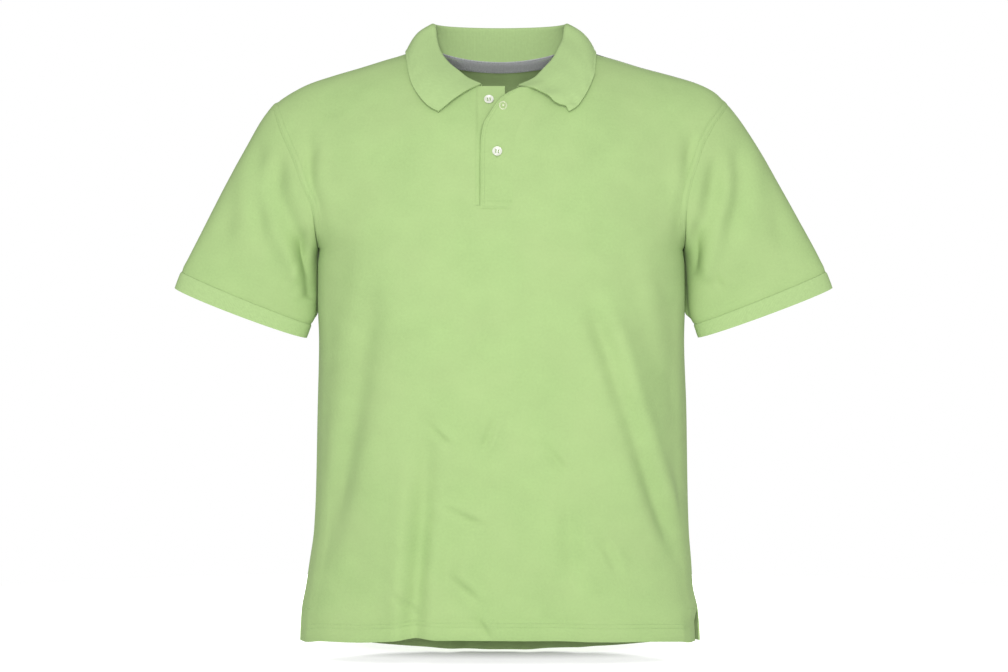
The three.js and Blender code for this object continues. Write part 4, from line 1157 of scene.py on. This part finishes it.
# distance from the middle, height above the seat
BUTTON_PROFILE = [(0.01, 1.25), (2.9, 1.2), (3.6, 1.35), (4.2, 1.9), (4.9, 2.3), (5.5, 2.25), (5.95, 1.8),
                  (6.1, 1.2), (5.9, 0.55), (5.2, 0.15), (3.0, 0.0), (0.01, 0.0)]


def lathe(profile, sides, name):
    """A solid turned round Z from its profile's radii and heights, its ends closed."""
    turn = full_turn(sides)
    rings = [np.stack([r * np.cos(turn), r * np.sin(turn), h + 0 * turn], -1) for r, h in profile]
    points = np.concatenate(rings)
    faces = []
    for ring in range(len(profile) - 1):
        for k in range(sides):
            j = (k + 1) % sides
            low, high = ring * sides, (ring + 1) * sides
            faces.append((low + k, high + k, high + j, low + j))
    obj = mesh_object(name, points, np.array(faces), sharp=35)
    made = bmesh.new()
    made.from_mesh(obj.data)
    bmesh.ops.holes_fill(made, edges=made.edges, sides=sides)
    bmesh.ops.recalc_face_normals(made, faces=made.faces)
    made.to_mesh(obj.data)
    made.free()
    return obj


def worked_in(obj):
    """Works the object's modifiers into its mesh."""
    shown = obj.evaluated_get(bpy.context.evaluated_depsgraph_get())
    made = bpy.data.meshes.new_from_object(shown)
    obj.modifiers.clear()
    obj.data = made


def button(name, x, z, seat, tilt):
    """A four-hole button with a raised rim, and the thread that holds it."""
    body = lathe(BUTTON_PROFILE, BUTTON_SIDES, name)
    for cx, cy in HOLE_CORNERS:
        cutter = lathe([(BUTTON_HOLE, 4), (BUTTON_HOLE, -1)], HOLE_SIDES, "cutter")
        cutter.data.transform(Matrix.Translation((cx * MM, cy * MM, 0)))
        cut = body.modifiers.new("hole", "BOOLEAN")
        cut.operation, cut.object, cut.solver = "DIFFERENCE", cutter, "EXACT"
        worked_in(body)
        bpy.data.objects.remove(cutter)
    body.data.shade_smooth()
    body.data.set_sharp_from_angle(angle=math.radians(35))
    for polygon in body.data.polygons:
        middle = polygon.center.xy.length / MM
        polygon.material_index = int(middle < BUTTON_DISH)
    step = 4
    across = np.array([2 * step, front_y(x + step, z) - front_y(x - step, z), 0])
    up = np.array([0, front_y(x, z + step) - front_y(x, z - step), 2 * step])
    normal = unit(np.cross(across, up))
    across = unit(across)
    axes = Matrix(np.stack([across, np.cross(normal, across), normal], 1).tolist()).to_4x4()
    spot = np.array([x, float(front_y(x, z)), z]) + normal * seat
    place = Matrix.Translation((spot * MM).tolist()) @ axes @ Matrix.Rotation(tilt, 4, "Z")
    body.data.transform(place)
    sewing = Sewing()
    for pair in (HOLE_CORNERS[::3], HOLE_CORNERS[1:3]):
        for shift in (-THREAD_APART, THREAD_APART):
            start, end = (np.array([[cx + shift, cy, THREAD_LEVEL]]) for cx, cy in pair)
            sewing.add(start, end, np.array([[0, 0, 1.0]]), 0.32)
    thread = sewing.piece(name + "_thread")
    thread.data.transform(place)
    return body, thread


neck_button = button("button_neck_disc", *NECK_BUTTON, 0.3 - UNDER_SUNK, 0.15)
lower_button = button("button_lower_disc", *LOWER_BUTTON, UPPER_PROUD + 0.25, -0.1)

# ---- all the sewing ----

front_stitches = panel_stitches(front, "front_stitches")
back_stitches = panel_stitches(back, "back_stitches")
placket_thread = placket_stitches("placket_stitches")
hole_thread = neck_hole_stitches("neck_hole_stitches")
tape_stitches = neck_tape_stitches("neck_tape_stitches")

# ---- materials ----


class Nodes:
    """A short way to write a material's nodes."""

    def __init__(self, name):
        self.material = bpy.data.materials.new(name)
        self.material.use_nodes = True
        self.tree = self.material.node_tree
        self.tree.nodes.clear()

    def link(self, value, socket):
        if isinstance(value, bpy.types.NodeSocket):
            self.tree.links.new(value, socket)
        else:
            socket.default_value = value

    def node(self, kind, out=0, inputs=(), **settings):
        made = self.tree.nodes.new(kind)
        for key, value in settings.items():
            setattr(made, key, value)
        for key, value in dict(inputs).items():
            self.link(value, made.inputs[key])
        return made.outputs[out]

    def math(self, operation, a, b=0.0):
        return self.node("ShaderNodeMath", 0, {0: a, 1: b}, operation=operation)

    def total(self, *values):
        found = values[0]
        for value in values[1:]:
            found = self.math("ADD", found, value)
        return found

    def wave(self, place, pitch):
        return self.math("SINE", self.math("MULTIPLY", place, 2 * math.pi / pitch))

    def vector(self, operation, a, b=(0, 0, 0), out=0):
        return self.node("ShaderNodeVectorMath", out, {0: a, 1: b}, operation=operation)

    def noise(self, where, scale, detail=2.0, roughness=0.5):
        inputs = {"Vector": where, "Scale": scale, "Detail": detail, "Roughness": roughness}
        return self.node("ShaderNodeTexNoise", 0, inputs)

    def ranged(self, value, a, b, c, d):
        inputs = {"Value": value, "From Min": a, "From Max": b, "To Min": c, "To Max": d}
        return self.node("ShaderNodeMapRange", 0, inputs)

    def mixed(self, share, a, b):
        return self.node("ShaderNodeMix", 2, {0: share, 6: a, 7: b}, data_type="RGBA")

    def finish(self, colour, height, bump, distance, **constants):
        bumped = self.node("ShaderNodeBump", 0, {"Height": height, "Strength": bump, "Distance": distance})
        shader = self.tree.nodes.new("ShaderNodeBsdfPrincipled")
        self.link(colour, shader.inputs["Base Color"])
        self.link(bumped, shader.inputs["Normal"])
        for key, value in constants.items():
            self.link(value, shader.inputs[key.replace("_", " ")])
        output = self.tree.nodes.new("ShaderNodeOutputMaterial")
        self.tree.links.new(shader.outputs[0], output.inputs[0])
        return self.material


def tone(colour, factor):
    return (*(factor * channel for channel in colour), 1)


def grey(value):
    return tone((1, 1, 1), value)


GREEN = (0.312, 0.442, 0.184)
RIB_GREEN = (0.335, 0.465, 0.203)
# the pique's inner faces are lighter than its outer faces: painted light standing in for light that reaches
# inside the shirt
INSIDE_GREEN_PAINTED_LIGHT = (0.53, 0.78, 0.33)
# the rib's inner faces are lighter than its outer faces: painted light standing in for light that reaches
# the collar's and cuffs' insides
RIB_INSIDE_PAINTED_LIGHT = (0.425, 0.62, 0.25)
PALE = (0.60, 0.65, 0.45)
FADED = (1.1, 1.01, 1.1)  # how the cloth's colour shifts where it is washed out
TAPE_DARK, TAPE_LIGHT = (0.25, 0.256, 0.262, 1), (0.72, 0.73, 0.75, 1)
TAPE_THREADS = (0.16, 0.17, 0.18, 1), (0.30, 0.31, 0.32, 1)
RIM_COLOURS = (0.52, 0.54, 0.45, 1), (0.68, 0.69, 0.62, 1)
DISH_COLOURS = (0.30, 0.34, 0.20, 1), (0.42, 0.46, 0.31, 1)
PIQUE_PITCH = (3.0, 2.3)  # millimetres between like bumps of the knit, across and along
RIB_PITCH = (1.9, 1.3)
TWILL_PITCH = 1.4
KNIT = dict(Sheen_Weight=0.03, Sheen_Roughness=0.5, Specular_IOR_Level=0.12)
TWIST = (900.0, 2.0, 0.6)  # noise scale, detail and roughness of a thread's twist
CLOUD = (260.0, 3.0, 0.6)  # and of a button's resin


def knit_coordinates(n, shake):
    """The cloth's own coordinates in millimetres, and across and along it, uneven as knitting is."""
    uv = n.node("ShaderNodeUVMap", 0, uv_map="cloth")
    uneven = n.node("ShaderNodeTexNoise", 1, {"Vector": uv, "Scale": 0.16, "Detail": 2.0})
    offset = n.vector("SUBTRACT", uneven, (0.5, 0.5, 0.5))
    scaled = n.node("ShaderNodeVectorMath", 0, {0: offset, "Scale": shake}, operation="SCALE")
    moved = n.vector("ADD", uv, scaled)
    return uv, *(n.node("ShaderNodeSeparateXYZ", out, {0: moved}) for out in (0, 1))


def pique_material(name, green):
    n = Nodes(name)
    uv, across, along = knit_coordinates(n, 2.2)
    bumps = n.math("MULTIPLY", n.wave(across, PIQUE_PITCH[0]), n.wave(along, PIQUE_PITCH[1]))
    lattice = n.ranged(bumps, -1, 1, 0, 1)
    fuzz = n.noise(uv, 1.3, 3.0, 0.65)
    slub = n.noise(uv, 0.33, 3.0, 0.6)
    patch = n.noise(uv, 0.022, 4.0, 0.55)
    height = n.total(n.math("MULTIPLY", lattice, 0.35), n.math("MULTIPLY", fuzz, 0.45), slub)
    shade = n.total(
        n.ranged(lattice, 0, 1, -0.02, 0.015), n.ranged(fuzz, 0.25, 0.75, -0.04, 0.04),
        n.ranged(slub, 0.3, 0.7, -0.035, 0.035), n.ranged(patch, 0.3, 0.7, -0.035, 0.035),
    )
    colour = n.mixed(n.ranged(shade, -0.16, 0.16, 0, 1), tone(green, 0.84), tone(green, 1.16))
    washed = n.ranged(n.noise(uv, 0.012, 2.0, 0.5), 0.35, 0.65, 0, 0.3)
    faded = tone([channel * shift for channel, shift in zip(green, FADED)], 1)
    return n.finish(n.mixed(washed, colour, faded), height, 0.25, 0.0006, Roughness=0.88, **KNIT)


def rib_material(name, green):
    n = Nodes(name)
    uv, across, along = knit_coordinates(n, 1.2)
    rib, loops = n.wave(across, RIB_PITCH[0]), n.wave(along, RIB_PITCH[1])
    fuzz = n.noise(uv, 1.1, 3.0, 0.65)
    slub = n.noise(uv, 0.25, 3.0, 0.6)
    height = n.total(n.math("MULTIPLY", rib, 0.35), n.math("MULTIPLY", loops, 0.12), fuzz)
    shade = n.total(
        n.ranged(rib, -1, 1, -0.04, 0.03), n.ranged(fuzz, 0.25, 0.75, -0.05, 0.05),
        n.ranged(slub, 0.3, 0.7, -0.04, 0.04),
    )
    colour = n.mixed(n.ranged(shade, -0.16, 0.16, 0, 1), tone(green, 0.85), tone(green, 1.15))
    return n.finish(colour, height, 0.35, 0.0006, Roughness=0.9, **KNIT)


def tape_material():
    n = Nodes("tape_twill")
    uv, across, along = knit_coordinates(n, 0.6)
    twill = n.wave(n.total(across, along), TWILL_PITCH)
    stretched = n.node("ShaderNodeMapping", 0, {"Vector": uv, "Scale": (0.35, 1.6, 1.0)})
    fleck = n.noise(stretched, 1.2, 4.0, 0.7)
    shade = n.total(n.ranged(twill, -1, 1, -0.1, 0.1), n.ranged(fleck, 0.3, 0.7, 0.05, 0.95))
    colour = n.mixed(shade, TAPE_DARK, TAPE_LIGHT)
    return n.finish(colour, n.total(twill, fleck), 0.4, 0.0004, Roughness=0.85, Specular_IOR_Level=0.25)


def speckled_material(name, dark, light, speckle, spread, bump, **constants):
    """Thread or resin, speckled between two colours."""
    n = Nodes(name)
    speckles = n.noise(n.node("ShaderNodeTexCoord", 3), *speckle)
    colour = n.mixed(n.ranged(speckles, 0.5 - spread, 0.5 + spread, 0, 1), dark, light)
    return n.finish(colour, speckles, bump, 0.0002, **constants)


def thread_material(name, dark, light, **constants):
    return speckled_material(
        name, dark, light, TWIST, 0.2, 0.2, Roughness=0.6, Specular_IOR_Level=0.35, **constants
    )


def sewing_material(name, colour):
    return thread_material(name, tone(colour, 0.86), tone(colour, 1.12), Sheen_Weight=0.1)


def button_material(name, dark, light):
    return speckled_material(
        name, dark, light, CLOUD, 0.15, 0.05, Roughness=0.28, Specular_IOR_Level=0.55, Coat_Weight=0.25
    )


# metres from the shirt's middle where the floor's glow starts and stops growing, its strength at each
FLOOR_GLOW = (0.45, 1.15, 0.78, 1.3)
# middle and reach in metres of a painted shadow on the floor under the shirt, and how much glow it takes
# away
PAINTED_SHADOW_MIDDLE, PAINTED_SHADOW_REACH, PAINTED_SHADOW_STRENGTH = (0, 0.17, 0), (0.31, 0.15, 1), 0.55


def floor_material():
    n = Nodes("studio_floor")
    where = n.vector("MULTIPLY", n.node("ShaderNodeTexCoord", 3), (1, 1, 0))
    grain = n.noise(where, 4.0, 3.0, 0.5)
    # it glows only where the camera sees it, and so meets the white behind it without an edge
    seen = n.node("ShaderNodeLightPath", 0)
    glow = n.ranged(n.vector("LENGTH", where, out=1), *FLOOR_GLOW)
    # a painted shadow: less of the glow is left under and behind the shirt's back
    in_painted_shadow = n.vector("DIVIDE", n.vector("SUBTRACT", where, PAINTED_SHADOW_MIDDLE), PAINTED_SHADOW_REACH)
    # shade here is the painted shadow's strength at each spot of the floor
    shade = n.ranged(n.vector("LENGTH", in_painted_shadow, out=1), 0.55, 1.1, PAINTED_SHADOW_STRENGTH, 0)
    glow = n.math("MULTIPLY", seen, n.math("SUBTRACT", glow, shade))
    return n.finish(n.mixed(grain, grey(0.88), grey(0.92)), grain, 0.02, 0.001, Roughness=0.9,
                    Specular_IOR_Level=0.1, Emission_Color=grey(1), Emission_Strength=glow)


# each knit's second material, on its inner faces, is a lighter copy of the first: painted light inside the
# shirt
PIQUE = [pique_material("pique_knit", GREEN), pique_material("pique_reverse_painted_light", INSIDE_GREEN_PAINTED_LIGHT)]
RIB_KNIT = [rib_material("rib_knit", RIB_GREEN), rib_material("rib_reverse_painted_light", RIB_INSIDE_PAINTED_LIGHT)]
TWILL = [tape_material()] * 2
SEWN, PALE_SEWN = [sewing_material("sewing_thread", GREEN)], [sewing_material("pale_thread", PALE)]
TAPE_SEWN = [thread_material("tape_thread", *TAPE_THREADS)]
RESIN = [button_material("button_rim", *RIM_COLOURS), button_material("button_dish", *DISH_COLOURS)]

# ---- the pieces, their bodies and their cloth ----

# A piece's cloth and materials, the slot and the CAD node it stands for, how it is held, what
# it hangs from, the pieces on it, its cut's width and length in metres and area in square metres.
BODY = ["front_cloth", "back_cloth"]
SHEETS = [
    (front, PIQUE, "pique", "front", "hung", ["back_cloth", "collar_rib"], [front_stitches],
     (0.70, 0.79, 0.41)),
    (back, PIQUE, "pique", "back", "hung", ["front_cloth", "collar_rib"], [back_stitches],
     (0.65, 0.83, 0.435)),
    (sleeves[-1], PIQUE, "pique", "sleeve_right", "hung", BODY, [], (0.51, 0.245, 0.068)),
    (sleeves[1], PIQUE, "pique", "sleeve_left", "hung", BODY, [], (0.52, 0.245, 0.073)),
    (cuffs[-1], RIB_KNIT, "rib", "cuff_right", "hung", ["sleeve_right_cloth"], [], (0.39, 0.025, 0.0086)),
    (cuffs[1], RIB_KNIT, "rib", "cuff_left", "hung", ["sleeve_left_cloth"], [], (0.395, 0.025, 0.0087)),
    (collar_piece, RIB_KNIT, "rib", "collar", "folded", BODY, [], (0.615, 0.115, 0.048)),
    (placket_upper, PIQUE, "pique", "placket_top", "hung", ["front_cloth"], [placket_thread, hole_thread],
     (0.045, 0.176, 0.0061)),
    (placket_lower, PIQUE, "pique", "placket_under", "hung", ["front_cloth"], [], (0.037, 0.158, 0.0057)),
    (tape_piece, TWILL, "tape", "neck_tape", "hung", ["back_cloth", "collar_rib"], [tape_stitches],
     (0.20, 0.036, 0.0043)),
]
TRIM = [
    (front_stitches, SEWN, "pique"), (back_stitches, SEWN, "pique"), (placket_thread, SEWN, "pique"),
    (hole_thread, PALE_SEWN, "pique"), (tape_stitches, TAPE_SEWN, "tape"),
    (neck_button[1], SEWN, "pique"), (lower_button[1], SEWN, "pique"),
    (neck_button[0], RESIN, "button"), (lower_button[0], RESIN, "button"),
]


def dress(piece, materials):
    """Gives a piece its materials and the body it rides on."""
    piece.data.materials.clear()
    for material in materials:
        piece.data.materials.append(material)
    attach(piece, "root")


for cloth, materials, slot, node, *_ in SHEETS:
    dress(cloth.object, materials)
    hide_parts(node)
for piece, materials, slot in TRIM:
    dress(piece, materials)
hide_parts("button_neck")
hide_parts("button_lower")

# ---- camera, floor and light ----

scene = bpy.context.scene
scene.view_settings.view_transform = "Standard"
scene.view_settings.look = "None"

CAMERA_PLACE = (0.005, -3.5, -0.3575)  # level with the shirt's middle
camera_data = bpy.data.cameras.new("camera")
camera_data.lens, camera_data.sensor_width = 100, 36
camera = bpy.data.objects.new("camera", camera_data)
camera.location = CAMERA_PLACE
camera.rotation_euler = (math.radians(90), 0, 0)
scene.collection.objects.link(camera)
scene.camera = camera

FLOOR_Z = -762.5
FLOOR_RADIUS = 1300
FLOOR_SIDES = 64
around = full_turn(FLOOR_SIDES)
floor_rim = [FLOOR_RADIUS * np.cos(around), FLOOR_RADIUS * np.sin(around), FLOOR_Z + 0 * around]
floor = mesh_object("floor", np.stack(floor_rim, -1), np.arange(FLOOR_SIDES)[None, :])
floor.data.materials.append(floor_material())

# the studio is white where it is seen and dimmer where it lights the shirt
STUDIO_FILL = 0.6
world = bpy.data.worlds.new("studio")
world.use_nodes = True
studio = world.node_tree.nodes
seen, strength = studio.new("ShaderNodeLightPath"), studio.new("ShaderNodeMapRange")
strength.inputs["To Min"].default_value = STUDIO_FILL
studio["Background"].inputs["Color"].default_value = grey(1)
world.node_tree.links.new(seen.outputs["Is Camera Ray"], strength.inputs["Value"])
world.node_tree.links.new(strength.outputs[0], studio["Background"].inputs["Strength"])
scene.world = world

# round soft lights that face the middle of the shirt: name, place, size and watts
LAMPS = [
    ("key", (-0.08, -3.3, 1.15), 1.1, 54),
    ("front", (-0.05, -3.45, -0.22), 0.3, 32),
    ("low", (-0.05, -3.45, -0.6), 0.3, 24),
    ("rear", (0.7, 3.0, 0.7), 1.2, 60),
]
SHIRT_MIDDLE = Vector((0, 0, -0.35))
for name, place, size, watts in LAMPS:
    light = bpy.data.lights.new(name, "AREA")
    light.shape, light.size, light.energy = "DISK", size, watts
    lamp = bpy.data.objects.new(name, light)
    lamp.location = place
    lamp.rotation_euler = (SHIRT_MIDDLE - Vector(place)).to_track_quat("-Z", "Y").to_euler()
    scene.collection.objects.link(lamp)
